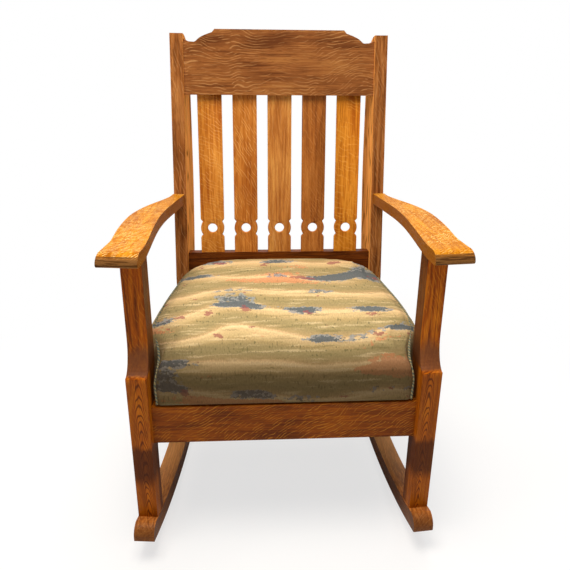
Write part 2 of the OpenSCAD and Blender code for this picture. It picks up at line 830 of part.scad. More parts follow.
bar_dowel_l = bar_w;
bar_dowel_shares = [0.3, 0.7];

module seat_frame_dowel_shapes() {
    for (side = [-1, 1]) for (y = [bar_in_front, bar_in_back]) for (share = bar_dowel_shares)
        dowel_y([side * (bar_x(y) - share * bar_w), y, bar_z + bar_t / 2], dowel_d, bar_dowel_l);
}

module seat_frame_dowels() { color(pale_oak) seat_frame_dowel_shapes(); }

// Webbing: crossing strips under the frame, with a spring on each crossing
web_count = 3;
web_x_step = (bar_x(bar_in_back) - bar_w) * 2 / web_count;
web_y_step = (bar_in_back - bar_in_front) / web_count;
web_mid_y = (bar_in_front + bar_in_back) / 2;
function web_place(i) = i - (web_count - 1) / 2;

// Half width of the frame at a place y between its front and back bars, whose sides are straight
function frame_edge(y) =
    y < bar_wide_y
    ? mix(bar_x(bar_in_front), bar_x(bar_wide_y), (y - bar_in_front) / (bar_wide_y - bar_in_front))
    : mix(bar_x(bar_wide_y), bar_x(bar_in_back), (y - bar_wide_y) / (bar_in_back - bar_wide_y));

module webbing_lengthwise() {
    color("burlywood") for (i = [0 : web_count - 1])
        translate([web_place(i) * web_x_step - web_w / 2, bar_front_y, web_z])
            cube([web_w, bar_back_y - bar_front_y, web_t]);
}

module webbing_crosswise() {
    color("burlywood") for (i = [0 : web_count - 1]) {
        y = web_mid_y + web_place(i) * web_y_step;
        x = min(frame_edge(y - web_w / 2), frame_edge(y + web_w / 2));
        translate([-x, y - web_w / 2, web_z + web_t]) cube([2 * x, web_w, web_t]);
    }
}

// Springs: each is one wire that climbs in an hourglass
spring_rings = 8;
spring_sides = 6;
spring_turns = 4;
function spring_r(t) = (mix(spring_waist_d, spring_d, pow(2 * t - 1, 2)) - wire_d) / 2;
spring_path = [for (i = [0 : spring_turns * spring_rings])
    let (t = i / (spring_turns * spring_rings), a = 360 * i / spring_rings)
    [spring_r(t) * cos(a), spring_r(t) * sin(a), wire_d / 2 + t * (spring_h - wire_d)]
];
echo(least_gap_in_a_spring = min([
    for (i = [0 : len(spring_path) - 1]) for (k = [i + spring_rings / 2 : len(spring_path) - 1])
        norm(spring_path[k] - spring_path[i])
]) - wire_d);

spring_away = [for (p = spring_path) [0, 0, 1]];

// A round tube along a path: away gives for each point a direction that the path doesn't take there
module tube(path, d, sides, away) {
    n = len(path);
    rings = [for (i = [0 : n - 1])
        let (
            along = path[min(i + 1, n - 1)] - path[max(i - 1, 0)],
            a = cross(along, away[i]),
            u = a / norm(a),
            v = cross(u, along / norm(along))
        )
        [for (k = [0 : sides - 1])
            let (turn = -360 * k / sides)
            path[i] + d / 2 * (cos(turn) * u + sin(turn) * v)]
    ];
    skin(rings, path[0], path[n - 1]);
}

module seat_springs() {
    color("silver") for (i = [0 : web_count - 1]) for (j = [0 : web_count - 1])
        translate([web_place(i) * web_x_step, web_mid_y + web_place(j) * web_y_step, spring_z])
            tube(spring_path, wire_d, spring_sides, spring_away);
}

// Burlap: from the top of the frame up over the springs, drawn in by a thickness for its inner side
burlap_foot_share = 0.001;
module burlap_body(thinner) {
    x = web_x_step + spring_d / 2 + burlap_t - thinner;
    y = web_y_step + spring_d / 2 + burlap_t - thinner;
    top = spring_top + burlap_t - thinner;
    foot = burlap_t - thinner * (1 - burlap_foot_share);
    hull() {
        translate([0, 0, bar_top]) linear_extrude(foot) polygon(frame_plan);
        translate([-x, web_mid_y - y, spring_z]) cube([2 * x, 2 * y, top - spring_z]);
    }
}

// All that lies under the padding: the frame with its webbing, and the burlap over it
module under_padding() {
    burlap_body(0);
    translate([0, 0, seat_z - over]) linear_extrude(bar_top - seat_z + over) polygon(frame_plan);
}

module burlap_sheet() {
    color("tan") difference() {
        intersection() {
            burlap_body(0);
            translate([-far / 2, -far / 2, bar_top]) cube([far, far, far]);
        }
        burlap_body(burlap_t);
    }
}

module dust_cover() {
    color("dimgray") translate([0, 0, seat_z]) linear_extrude(dust_t) polygon(frame_plan);
}

// Welt: a cord up each front corner and back along the side, against the cushion
welt_sides = 8;
welt_level = 3;
welt_first = front_steps + round_steps + 1;
welt_out = welt_d / 2 + seat_rest_gap;

// A point of the cord's middle: a point of a cushion ring, moved out square to the ring in plan
function welt_point(ring, i) =
    let (d = ring[i + 1] - ring[i - 1], out = [d[1], -d[0], 0])
    ring[i] + welt_out * out / norm(out);
function welt_lift(k) = k == 0 ? [0, 0, welt_out] : [0, 0, 0];
welt_path = concat(
    [for (k = [0 : welt_level - 1]) welt_point(seat_rings[k], welt_first) + welt_lift(k)],
    [for (i = [welt_first : welt_first + side_steps - 1]) welt_point(seat_rings[welt_level], i)]
);

welt_away = [for (i = [0 : len(welt_path) - 1]) i < welt_level ? [0, 1, 0] : [0, 0, 1]];

module welt_half() { tube(welt_path, welt_d, welt_sides, welt_away); }

module seat_welt() {
    color("darkslategray") {
        welt_half();
        mirror([1, 0, 0]) welt_half();
    }
}

front_leg(-1);  // front_leg_left
front_leg(1);  // front_leg_right
back_post(-1);  // back_post_left
back_post(1);  // back_post_right
runner(-1);  // runner_left
runner(1);  // runner_right
arm(-1);  // arm_left
arm(1);  // arm_right
crest_rail();
lower_back_rail();
back_slat(1);  // back_slat_1
back_slat(2);  // back_slat_2
back_slat(3);  // back_slat_3
back_slat(4);  // back_slat_4
back_slat(5);  // back_slat_5
front_seat_rail();
back_seat_rail();
side_seat_rail(-1);  // side_seat_rail_left
side_seat_rail(1);  // side_seat_rail_right
corner_blocks();
corner_block_screws();
front_rail_dowels();
side_rail_dowels();
back_seat_rail_dowels();
back_dowels();
runner_pegs();
arm_dowels();
seat_frame_front();
seat_frame_back();
seat_frame_side(-1);  // seat_frame_left
seat_frame_side(1);  // seat_frame_right
seat_frame_dowels();
webbing_lengthwise();
webbing_crosswise();
seat_springs();
burlap_sheet();
dust_cover();
seat_cushion();
seat_welt();
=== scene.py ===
# %% [markdown]
# # A rocking chair in quartersawn oak
#
# The wooden pieces of this chair are flat boards, sawn to an outline and joined by dowels. Their shapes come
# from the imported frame, so this lesson spends its time on what the frame leaves open: eased edges, oak that
# shows its ray fleck, a seat that swells like real upholstery, and a soft studio to see them in.
#
# All lengths are in metres, X runs across the chair, Y to its back and Z up from the floor.

# %% Load the frame
import json
import math

import bpy
from mathutils import Matrix, Vector
from mathutils.bvhtree import BVHTree

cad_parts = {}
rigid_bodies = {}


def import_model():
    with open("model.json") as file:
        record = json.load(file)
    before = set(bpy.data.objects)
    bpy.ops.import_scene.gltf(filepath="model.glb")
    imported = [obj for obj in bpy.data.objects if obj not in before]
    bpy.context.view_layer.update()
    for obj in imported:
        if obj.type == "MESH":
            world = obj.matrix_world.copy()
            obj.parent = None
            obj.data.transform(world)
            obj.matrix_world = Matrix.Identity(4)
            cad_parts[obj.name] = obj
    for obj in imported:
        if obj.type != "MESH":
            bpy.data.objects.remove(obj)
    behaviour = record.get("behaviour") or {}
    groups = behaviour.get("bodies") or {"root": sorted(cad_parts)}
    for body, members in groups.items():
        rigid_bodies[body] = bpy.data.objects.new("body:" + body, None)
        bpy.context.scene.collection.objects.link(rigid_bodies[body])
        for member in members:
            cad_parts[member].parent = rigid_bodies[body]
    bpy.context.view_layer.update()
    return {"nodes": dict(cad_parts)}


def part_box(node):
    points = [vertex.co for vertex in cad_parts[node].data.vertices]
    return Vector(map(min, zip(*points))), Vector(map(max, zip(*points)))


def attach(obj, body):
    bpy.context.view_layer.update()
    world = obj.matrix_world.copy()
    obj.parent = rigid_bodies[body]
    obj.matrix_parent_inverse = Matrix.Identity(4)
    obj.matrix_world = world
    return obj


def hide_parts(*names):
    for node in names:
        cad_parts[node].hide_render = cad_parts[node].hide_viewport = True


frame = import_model()
nodes = frame["nodes"]


# %% [markdown]
# ## The camera
#
# The photograph was taken by someone who stands in front of the chair and looks down on it. A camera was
# fitted to the edges of the chair, and its few numbers are kept here in the photograph's own terms: the focal
# length and the optical axis in pixels, the eye's place in metres and three angles. The picture was trimmed
# off-centre, so the optical axis lies away from its middle, and a lens shift puts it there.

# %% Place the camera
PHOTO_SIDE = 570
FOCAL_PX = 634.95
AXIS_PX = (300.74, 227.57)
EYE = Vector((-0.0439, -1.3064, 1.0876))
YAW, PITCH, ROLL = 0.0666, 0.3765, -0.0178

ahead = Vector((math.sin(YAW) * math.cos(PITCH), math.cos(YAW) * math.cos(PITCH), -math.sin(PITCH)))
right = Vector((math.cos(YAW), -math.sin(YAW), 0))
down = ahead.cross(right)
right, down = (
    math.cos(ROLL) * right + math.sin(ROLL) * down,
    math.cos(ROLL) * down - math.sin(ROLL) * right,
)
camera = bpy.data.objects.new("camera", bpy.data.cameras.new("camera"))
bpy.context.scene.collection.objects.link(camera)
camera.matrix_world = Matrix.Translation(EYE) @ Matrix((right, -down, -ahead)).transposed().to_4x4()
camera.data.sensor_fit = "HORIZONTAL"
camera.data.sensor_width = 36
camera.data.lens = FOCAL_PX * camera.data.sensor_width / PHOTO_SIDE
camera.data.shift_x = (PHOTO_SIDE / 2 - AXIS_PX[0]) / PHOTO_SIDE
camera.data.shift_y = (AXIS_PX[1] - PHOTO_SIDE / 2) / PHOTO_SIDE
camera.data.clip_end = 50
bpy.context.scene.camera = camera
bpy.context.scene.view_settings.view_transform = "Standard"
print("camera: lens", round(camera.data.lens, 2), "mm, eye", [round(v, 3) for v in EYE])


# %% [markdown]
# ## Nodes and colours
#
# Every material below is a tree of shader nodes. One helper adds a node: it takes the kind of node, what goes
# into its sockets (a number, a colour, an output, or a node whose first output is meant) and its settings.
# Colours are written as the hex values that a screen shows, and one function turns them into the linear
# values that shaders need.

# %% Helpers for materials
def linear(hex_colour):
    """A screen colour such as #c08040 as linear red, green, blue and alpha."""
    parts = [int(hex_colour[i:i + 2], 16) / 255 for i in (1, 3, 5)]
    return [p / 12.92 if p <= 0.04045 else ((p + 0.055) / 1.055) ** 2.4 for p in parts] + [1.0]


def add(tree, kind, sockets=(), stops=(), **settings):
    """A new shader node, with its sockets filled or linked, its colour stops and its settings."""
    node = tree.nodes.new("ShaderNode" + kind)
    for name, value in settings.items():
        setattr(node, name, value)
    for key, value in dict(sockets).items():
        if isinstance(value, bpy.types.Node):
            value = value.outputs[0]
        if isinstance(value, bpy.types.NodeSocket):
            tree.links.new(value, node.inputs[key])
        else:
            node.inputs[key].default_value = value
    if stops:
        ramp = node.color_ramp
        while len(ramp.elements) < len(stops):
            ramp.elements.new(1)
        for element, (place, colour) in zip(ramp.elements, stops):
            element.position = place
            element.color = linear(colour) if isinstance(colour, str) else [colour] * 3 + [1]
    return node


def new_material(name):
    """A material with an empty tree but for its output and one Principled shader."""
    material = bpy.data.materials.new(name)
    material.use_nodes = True
    tree = material.node_tree
    tree.nodes.clear()
    shader = add(tree, "BsdfPrincipled")
    add(tree, "OutputMaterial", {"Surface": shader.outputs["BSDF"]})
    return material, tree, shader


def dress(piece, material):
    """Gives a piece one material all over."""
    piece.data.materials.clear()
    piece.data.materials.append(material)


# %% [markdown]
# ## Quartersawn oak
#
# Oak that is sawn along its radius shows three things at once. The growth rings become fine straight lines
# along the board. The pores are short dark dashes along them. And the rays, which are ribbons of hard pale
# tissue, are cut at a glancing angle and show as light flecks that wander across the grain. The chair was
# stained red-brown and varnished, and a century of hands and light has turned some boards golden.
#
# One function makes the oak of every board, because they differ only in tone, in the way the grain runs and
# in how the saw met the rays. The pattern lives in a space that is turned to the board, with X along the
# grain. Real pores are about 0.3 mm wide, too fine for a pixel of 2 mm, so they are drawn 1.5 mm wide.

# %% How the grain runs in a board
LEAN = math.radians(7.4)
QUARTER = math.radians(90)
GRAIN_UP = (0, QUARTER, 0)
GRAIN_UP_BACK = (LEAN, QUARTER, 0)
GRAIN_ACROSS = (0, 0, 0)
GRAIN_ACROSS_BACK = (LEAN, 0, 0)
GRAIN_BACKWARDS = (0, 0, -QUARTER)
GRAIN_ALONG_ARM = (LEAN, 0, -QUARTER)


# %% Masks and tints
def rise(tree, value, start, end):
    """A mask with a soft edge: 0 before the start and 1 after the end, and the end may be the lower one."""
    return add(tree, "MapRange", {"Value": value, "From Min": start, "From Max": end},
               interpolation_type="SMOOTHSTEP")


def tint(tree, colour, mask, hex_colour, amount=1.0):
    """A colour that turns into another where a mask is 1."""
    factor = add(tree, "Math", {0: mask, 1: amount}, operation="MULTIPLY")
    return add(tree, "Mix", {"Factor": factor, "A": colour, "B": linear(hex_colour)},
               data_type="RGBA").outputs["Result"]


# %% Rings, lines and pores
# Features per metre, first along the grain and then both ways across it
TONE_CHANGES = (6, 22, 22)
RING_SWEEPS = (2.2, 34, 34)
FINE_LINES = (9, 280, 280)
PORE_DASHES = (55, 560, 560)
RINGS_IN_NOISE = 8.0
TONE_WEIGHT = 0.8
DARKEST, PALEST = 0.61, 0.99


def grain_of(tree, board, tones, rings):
    """The colour that the grain gives a board, and the slow tone, the fine lines and the pores in it."""
    dark, mid, pale = tones
    # Slow changes of tone over the board, as where it was handled or stained twice
    slow = add(tree, "Mapping", {"Vector": board, "Scale": TONE_CHANGES})
    slow = add(tree, "TexNoise", {"Vector": slow, "Scale": 1, "Detail": 3, "Roughness": 0.5})
    # Growth rings: contour lines of a noise that is drawn out along the board
    ring = add(tree, "Mapping", {"Vector": board, "Scale": RING_SWEEPS})
    ring = add(tree, "TexNoise", {"Vector": ring, "Scale": 1, "Detail": 2, "Distortion": 0.6})
    ring = add(tree, "Math", {0: ring, 1: RINGS_IN_NOISE}, operation="MULTIPLY")
    ring = add(tree, "Math", {0: ring, 1: 0.5}, operation="PINGPONG")
    ring = add(tree, "Math", {0: ring, 1: 2.0}, operation="MULTIPLY")
    # Fine lines of the grain
    line = add(tree, "Mapping", {"Vector": board, "Scale": FINE_LINES})
    line = add(tree, "TexNoise", {"Vector": line, "Scale": 1, "Detail": 5, "Roughness": 0.65})
    # Pores: short dark dashes
    pore = add(tree, "Mapping", {"Vector": board, "Scale": PORE_DASHES})
    pore = add(tree, "TexNoise", {"Vector": pore, "Scale": 1, "Detail": 2})
    pore = add(tree, "ValToRGB", {"Fac": pore}, stops=[(0.53, 0.0), (0.66, 1.0)])

    tone = add(tree, "Math", {0: line, 1: TONE_WEIGHT}, operation="MULTIPLY")
    tone = add(tree, "Math", {0: slow, 1: TONE_WEIGHT, 2: tone}, operation="MULTIPLY_ADD")
    tone = add(tree, "Math", {0: ring, 1: rings, 2: tone}, operation="MULTIPLY_ADD")
    tone = add(tree, "MapRange", {"Value": tone, "From Min": DARKEST, "From Max": PALEST + rings})
    colour = add(tree, "ValToRGB", {"Fac": tone}, stops=[(0.12, dark), (0.5, mid), (0.88, pale)])
    return colour, slow, line, pore


# %% The ray fleck
WANDERS_PER_METRE = 14
PATCHES_PER_METRE = 11
RIBBON_SWAY = 2.2


def ray_fleck(tree, place, board, turn, size, bow):
    """A mask of thin ribbons that wander across the grain, in patches; bow fans them out on a wide board."""
    length, spacing = size
    split = add(tree, "SeparateXYZ", {0: place})
    fan = add(tree, "Math", {0: split.outputs["X"], 1: split.outputs["X"]}, operation="MULTIPLY")
    fan = add(tree, "Math", {0: fan, 1: -bow}, operation="MULTIPLY")
    fan = add(tree, "CombineXYZ", {"Z": fan})
    wander = add(tree, "TexNoise", {"Vector": board, "Scale": WANDERS_PER_METRE, "Detail": 1})
    wander = add(tree, "VectorMath", {0: wander.outputs["Color"], 1: (0.5, 0.5, 0.5)}, operation="SUBTRACT")
    wander = add(tree, "VectorMath", {0: wander, "Scale": length * 0.9}, operation="SCALE")
    bent = add(tree, "VectorMath", {0: board, 1: wander}, operation="ADD")
    bent = add(tree, "VectorMath", {0: bent, 1: fan}, operation="ADD")
    turned = add(tree, "Mapping", {"Vector": bent, "Rotation": turn})

    # Ribbons side by side, each swaying a little
    across = add(tree, "SeparateXYZ", {0: turned})
    across = add(tree, "Math", {0: across.outputs["Y"], 1: across.outputs["Z"]}, operation="ADD")
    across = add(tree, "Math", {0: across, 1: spacing}, operation="DIVIDE")
    sway = add(tree, "TexNoise", {"Vector": turned, "Scale": 0.9 / length, "Detail": 1})
    across = add(tree, "Math", {0: sway, 1: RIBBON_SWAY, 2: across}, operation="MULTIPLY_ADD")
    ribbon = add(tree, "Math", {0: across, 1: 0.5}, operation="PINGPONG")
    ribbon = rise(tree, ribbon, 0.28, 0.48)

    # Each ribbon is broken into dashes, and whole patches of the board show few of them
    dash = add(tree, "Mapping", {"Vector": turned, "Scale": (0.8 / length, 0.9 / spacing, 0.9 / spacing)})
    dash = add(tree, "TexNoise", {"Vector": dash, "Scale": 1, "Detail": 1})
    lens = add(tree, "Math", {0: ribbon, 1: rise(tree, dash, 0.42, 0.56)}, operation="MULTIPLY")
    patch = add(tree, "TexNoise", {"Vector": board, "Scale": PATCHES_PER_METRE, "Detail": 1})
    patch = add(tree, "ValToRGB", {"Fac": patch}, stops=[(0.3, 0.3), (0.6, 1.0)])
    return add(tree, "Math", {0: lens, 1: patch}, operation="MULTIPLY")


# %% The oak material
GLOSSIEST, DULLEST = 0.3, 0.48
PORE_DEPTH = 0.0006


def oak(name, tones, ray, grain, fleck_turn=(0, 0.2, 0), fleck=0.6, fleck_size=(0.03, 0.004), rings=0.25,
        seed=0.0, bow=0.0, sheen=0.08, wear_and_painted_light=None):
    """Varnished oak: its three tones, the ray fleck's colour, how both run, its sheen, and its own wear and
    painted light.
    """
    material, tree, shader = new_material(name)
    place = add(tree, "TexCoord").outputs["Object"]
    board = add(tree, "Mapping", {"Vector": place, "Rotation": grain,
                                  "Location": (seed, seed * 0.7, seed * 1.3)})
    colour, slow, line, pore = grain_of(tree, board, tones, rings)
    lens = ray_fleck(tree, place, board, fleck_turn, fleck_size, bow)
    colour = tint(tree, colour, lens, ray, fleck)
    colour = tint(tree, colour, pore, tones[0], 0.5)
    if wear_and_painted_light:
        colour = wear_and_painted_light(tree, place, colour)
    tree.links.new(colour, shader.inputs["Base Color"])

    # Varnish lies smooth over the wood and sinks a little into the pores
    gloss = add(tree, "MapRange", {"Value": slow, "To Min": GLOSSIEST, "To Max": DULLEST})
    tree.links.new(gloss.outputs[0], shader.inputs["Roughness"])
    relief = add(tree, "Math", {0: line, 1: pore}, operation="SUBTRACT")
    bump = add(tree, "Bump", {"Height": relief, "Strength": 0.25, "Distance": PORE_DEPTH})
    tree.links.new(bump.outputs[0], shader.inputs["Normal"])
    shader.inputs["Specular IOR Level"].default_value = sheen
    return material


# %% [markdown]
# ## Wear on the boards, and painted light on the posts
#
# Some boards change over their length. The lower legs were sawn flat, so their rings show as nested arches,
# and a band of dark stain crosses them. Grease has darkened the scoop above the ledge, and the legs' inner
# sides are darker from a little behind the front. The arms are polished golden on top, with brown edges and
# dark end grain in front. The runners have a dark nose and dark sides, and their tops are paler behind the
# legs. The posts show the flat of the grain on their sides, golden and with long arches, and painted light
# makes their inner sides paler. Each mark is a mask from the place on the board or from the way a face looks,
# because that is how hands and light reach it.

# %% Where the boards change
LEDGE = 0.4045
LEG_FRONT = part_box("front_leg_right")[0].y
LEG_MIDDLE = (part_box("front_leg_right")[0].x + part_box("front_leg_right")[1].x) / 2
RUNNER_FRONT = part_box("runner_right")[0].y
print("leg middle", round(LEG_MIDDLE, 4), "runner front", round(RUNNER_FRONT, 4))


def facing(tree, axis):
    """How far a face turns to an axis, either way along it."""
    normal = add(tree, "SeparateXYZ", {0: add(tree, "NewGeometry").outputs["Normal"]})
    return add(tree, "Math", {0: normal.outputs[axis]}, operation="ABSOLUTE")


# %% Wear on the front legs
# Heights between which the stained band and the grease begin and end
BAND_TOP, BAND_FOOT = (0.272, 0.255), (0.165, 0.2)
GREASE_TOP = (0.485, 0.45)
ARCH_CURVE = 24000
ARCHES_PER_METRE = 46


def worn_leg(tree, place, colour):
    """Arches and a dark band on the lower leg, dark grease in the scoop, dark inner sides."""
    split = add(tree, "SeparateXYZ", {0: place})
    height = split.outputs["Z"]
    aside = add(tree, "Math", {0: split.outputs["X"]}, operation="ABSOLUTE")
    aside = add(tree, "Math", {0: aside, 1: LEG_MIDDLE}, operation="SUBTRACT")
    ragged = add(tree, "Mapping", {"Vector": place, "Scale": (60, 60, 14)})
    ragged = add(tree, "TexNoise", {"Vector": ragged, "Scale": 1, "Detail": 2})
    arch = add(tree, "Math", {0: aside, 1: aside}, operation="MULTIPLY")
    arch = add(tree, "Math", {0: arch, 1: ARCH_CURVE}, operation="MULTIPLY")
    arch = add(tree, "Math", {0: height, 1: ARCHES_PER_METRE, 2: arch}, operation="MULTIPLY_ADD")
    arch = add(tree, "Math", {0: ragged, 1: 3.2, 2: arch}, operation="MULTIPLY_ADD")
    arch = add(tree, "Math", {0: arch, 1: 0.5}, operation="PINGPONG")
    below = rise(tree, height, LEDGE, LEDGE - 0.012)
    colour = tint(tree, colour, below, "#9a500a", 0.5)
    front = rise(tree, facing(tree, "Y"), 0.6, 0.8)
    front = add(tree, "Math", {0: front, 1: below}, operation="MULTIPLY")
    lines = add(tree, "Math", {0: rise(tree, arch, 0.24, 0.05), 1: front}, operation="MULTIPLY")
    colour = tint(tree, colour, lines, "#471d03", 0.8)

    edge = add(tree, "Math", {0: ragged, 1: 0.03, 2: height}, operation="MULTIPLY_ADD")
    band = {0: rise(tree, edge, *BAND_TOP), 1: rise(tree, edge, *BAND_FOOT)}
    band = add(tree, "Math", band, operation="MULTIPLY")
    colour = tint(tree, colour, band, "#3c1702", 0.8)
    scoop = {0: rise(tree, height, LEDGE, LEDGE + 0.004), 1: rise(tree, edge, *GREASE_TOP)}
    scoop = add(tree, "Math", scoop, operation="MULTIPLY")
    colour = tint(tree, colour, scoop, "#70442a", 0.85)
    # The inner sides are darker from a little behind the front
    back = rise(tree, split.outputs["Y"], LEG_FRONT + 0.018, LEG_FRONT + 0.032)
    inner = rise(tree, facing(tree, "X"), 0.7, 0.9)
    inner = add(tree, "Math", {0: inner, 1: back}, operation="MULTIPLY")
    return tint(tree, colour, inner, "#401d06", 0.7)


# %% Wear on the arms
def worn_arm(tree, place, colour):
    """Brown edges round a golden top, and end grain that has drunk the stain."""
    colour = tint(tree, colour, rise(tree, facing(tree, "Z"), 0.9, 0.6), "#8a4c10", 0.75)
    nose = rise(tree, facing(tree, "Y"), 0.5, 0.85)
    colour = tint(tree, colour, nose, "#7c5630", 0.85)
    layers = add(tree, "Mapping", {"Vector": place, "Scale": (25, 25, 380)})
    layers = add(tree, "TexNoise", {"Vector": layers, "Scale": 1, "Detail": 2})
    layers = add(tree, "Math", {0: rise(tree, layers, 0.48, 0.62), 1: nose}, operation="MULTIPLY")
    return tint(tree, colour, layers, "#371c08", 0.8)


# %% Wear on the runners
NOSE_LENGTH = 0.03


def worn_runner(tree, place, colour):
    """A dark nose, dark sides and a top that is paler behind the leg."""
    depth = add(tree, "SeparateXYZ", {0: place}).outputs["Y"]
    paler_top = {0: rise(tree, facing(tree, "Z"), 0.6, 0.8), 1: rise(tree, depth, LEG_FRONT, 0)}
    paler_top = add(tree, "Math", paler_top, operation="MULTIPLY")
    colour = tint(tree, colour, paler_top, "#e0a566", 0.55)
    colour = tint(tree, colour, rise(tree, facing(tree, "X"), 0.6, 0.9), "#44230f", 0.75)
    return tint(tree, colour, rise(tree, depth, RUNNER_FRONT + NOSE_LENGTH, RUNNER_FRONT), "#502d13", 0.75)


# %% Grain and painted light on the posts
def post_grain_and_painted_light(tree, place, colour):
    """Sides that show the flat of the grain: golden, with long brown arches, and inner sides made paler as
    painted light.
    """
    side = rise(tree, facing(tree, "X"), 0.7, 0.9)
    colour = tint(tree, colour, side, "#e08c34", 0.6)
    # Painted light: the sides that look to the middle of the chair are made paler, as if lit
    # The normal's X times the place's X is below zero where a side looks to the middle of the chair
    normal = add(tree, "SeparateXYZ", {0: add(tree, "NewGeometry").outputs["Normal"]}).outputs["X"]
    across = add(tree, "SeparateXYZ", {0: place}).outputs["X"]
    outward = add(tree, "Math", {0: normal, 1: across}, operation="MULTIPLY")
    colour = tint(tree, colour, rise(tree, outward, -0.08, -0.14), "#ffb05c", 0.85)
    flat = add(tree, "Mapping", {"Vector": place, "Scale": (1, 24, 2.4)})
    flat = add(tree, "TexNoise", {"Vector": flat, "Scale": 1, "Detail": 1})
    arch = add(tree, "Math", {0: flat, 1: 9.0}, operation="MULTIPLY")
    arch = add(tree, "Math", {0: arch, 1: 0.5}, operation="PINGPONG")
    line = add(tree, "Math", {0: rise(tree, arch, 0.2, 0.02), 1: side}, operation="MULTIPLY")
    return tint(tree, colour, line, "#7e4412", 0.65)


# %% [markdown]
# ## Dress the boards
#
# Each board gets its own oak, because no two boards of the real chair match: the crest is a cool brown with
# level flecks, the slats are golden, one of them browner, the arms are pale and mottled on top, and the front
# rail is a warm brown with flecks that slant. The seed moves each board to another part of the tree.

# %% Oak for every board
board_oaks = {
    "crest_rail": oak("oak_crest", ("#5e3214", "#885127", "#9f6734"), "#b5824e", GRAIN_ACROSS_BACK,
                      fleck_turn=(0, 0.1, 0), fleck=0.85, fleck_size=(0.036, 0.0062), rings=0.1, seed=1.3,
                      bow=0.5),
    "lower_back_rail": oak("oak_back_rail", ("#421b05", "#5f2d0a", "#7e3e0f"), "#98581c", GRAIN_ACROSS_BACK,
                           fleck=0.3, seed=2.1),
    "front_seat_rail": oak("oak_front_rail", ("#5a2804", "#7f3d05", "#975009"), "#ba7924", GRAIN_ACROSS,
                           fleck_turn=(0, 0.6, 0), fleck=0.75, fleck_size=(0.024, 0.0052), rings=0.1,
                           seed=3.7),
    "back_seat_rail": oak("oak_back_seat_rail", ("#5c260a", "#86410f", "#a25519"), "#bb7a3c", GRAIN_ACROSS,
                          fleck=0.4, seed=4.4),
}
# Per slat: its three tones, the ray fleck's colour, how much it shows, its size and its turn
slat_oaks = [
    (("#995015", "#c07729", "#d18c3b"), "#dba35a", 0.5, (0.018, 0.007), 1.1),
    (("#914a17", "#b56b27", "#c78037"), "#dca45e", 0.7, (0.022, 0.0055), 0.5),
    (("#9e5b23", "#c37f3b", "#d39449"), "#e2b376", 0.25, (0.04, 0.006), 0.1),
    (("#81471d", "#a66228", "#b97637"), "#c88a4a", 0.4, (0.016, 0.006), 0.6),
    (("#9e5310", "#c57920", "#d78e2f"), "#e0a448", 0.45, (0.02, 0.010), 1.2),
]
for number, (tones, ray, fleck, fleck_size, turn) in enumerate(slat_oaks, 1):
    board_oaks[f"back_slat_{number}"] = oak(
        f"oak_slat_{number}", tones, ray, GRAIN_UP_BACK, fleck_turn=(0, turn, 0), fleck=fleck,
        fleck_size=fleck_size, rings=0.2, seed=5.0 + number * 1.7)
for side, seed in (("left", 0.0), ("right", 9.3)):
    board_oaks[f"front_leg_{side}"] = oak(
        f"oak_leg_{side}", ("#642a04", "#a75208", "#c87310"), "#de8e25", GRAIN_UP,
        fleck_turn=(0, 0.3, 0), fleck=0.35, fleck_size=(0.025, 0.007), rings=0.3, seed=12.6 + seed,
        wear_and_painted_light=worn_leg)
    board_oaks[f"back_post_{side}"] = oak(
        f"oak_post_{side}", ("#683b1c", "#94592b", "#b3763f"), "#cd9a64", GRAIN_UP_BACK,
        fleck_turn=(0, 0.3, 0), fleck=0.35, fleck_size=(0.03, 0.007), rings=0.3, seed=20.1 + seed,
        sheen=0.0, wear_and_painted_light=post_grain_and_painted_light)
    board_oaks[f"arm_{side}"] = oak(
        f"oak_arm_{side}", ("#9a5608", "#b87414", "#c98624"), "#ecc47a", GRAIN_ALONG_ARM,
        fleck_turn=(0, 0, 0.9), fleck=1.0, fleck_size=(0.012, 0.0052), rings=0.25, seed=28.9 + seed,
        sheen=0.02, wear_and_painted_light=worn_arm)
    board_oaks[f"runner_{side}"] = oak(
        f"oak_runner_{side}", ("#723b14", "#aa6228", "#c97f39"), "#dc9d5b", GRAIN_BACKWARDS,
        fleck_turn=(0, 0, 0.3), fleck=0.4, fleck_size=(0.02, 0.007), rings=0.3, seed=36.2 + seed,
        wear_and_painted_light=worn_runner)
    board_oaks[f"side_seat_rail_{side}"] = oak(
        f"oak_side_rail_{side}", ("#5c260a", "#86410f", "#a25519"), "#bb7a3c", GRAIN_BACKWARDS, fleck=0.4,
        seed=44.4 + seed)
for node, material in board_oaks.items():
    dress(nodes[node], material)
print("oak boards:", len(board_oaks))


# %% [markdown]
# ## Eased edges
#
# A sawn board has sharp edges only on paper. Sanding and a hundred years of hands round them, and that small
# round is what catches the light. The frame's boards stay as they are, and two modifiers ease them: Weld
# joins their loose triangles, and Bevel rounds every edge that turns by more than 30 degrees.

# %% Ease the boards' edges
SAME_POINT = 0.00002
EASED_BY = 0.0016


def ease_edges(piece):
    """Rounds the sharp edges of a board, and shades the rest smoothly."""
    weld = piece.modifiers.new("weld", "WELD")
    weld.merge_threshold = SAME_POINT
    bevel = piece.modifiers.new("ease", "BEVEL")
    bevel.width = EASED_BY
    bevel.segments = 2
    bevel.limit_method = "ANGLE"
    bevel.angle_limit = math.radians(30)
    bevel.harden_normals = True


for node in board_oaks:
    ease_edges(nodes[node])
print("eased edges on", len(board_oaks), "boards")


# %% [markdown]
# ## The hidden pieces
#
# Inside the seat are softwood bars, jute webbing, steel springs and a sheet of burlap, and a black cloth
# closes the seat from below. They only show when the seat is lifted off or seen from underneath, but each
# gets the finish of the real thing.

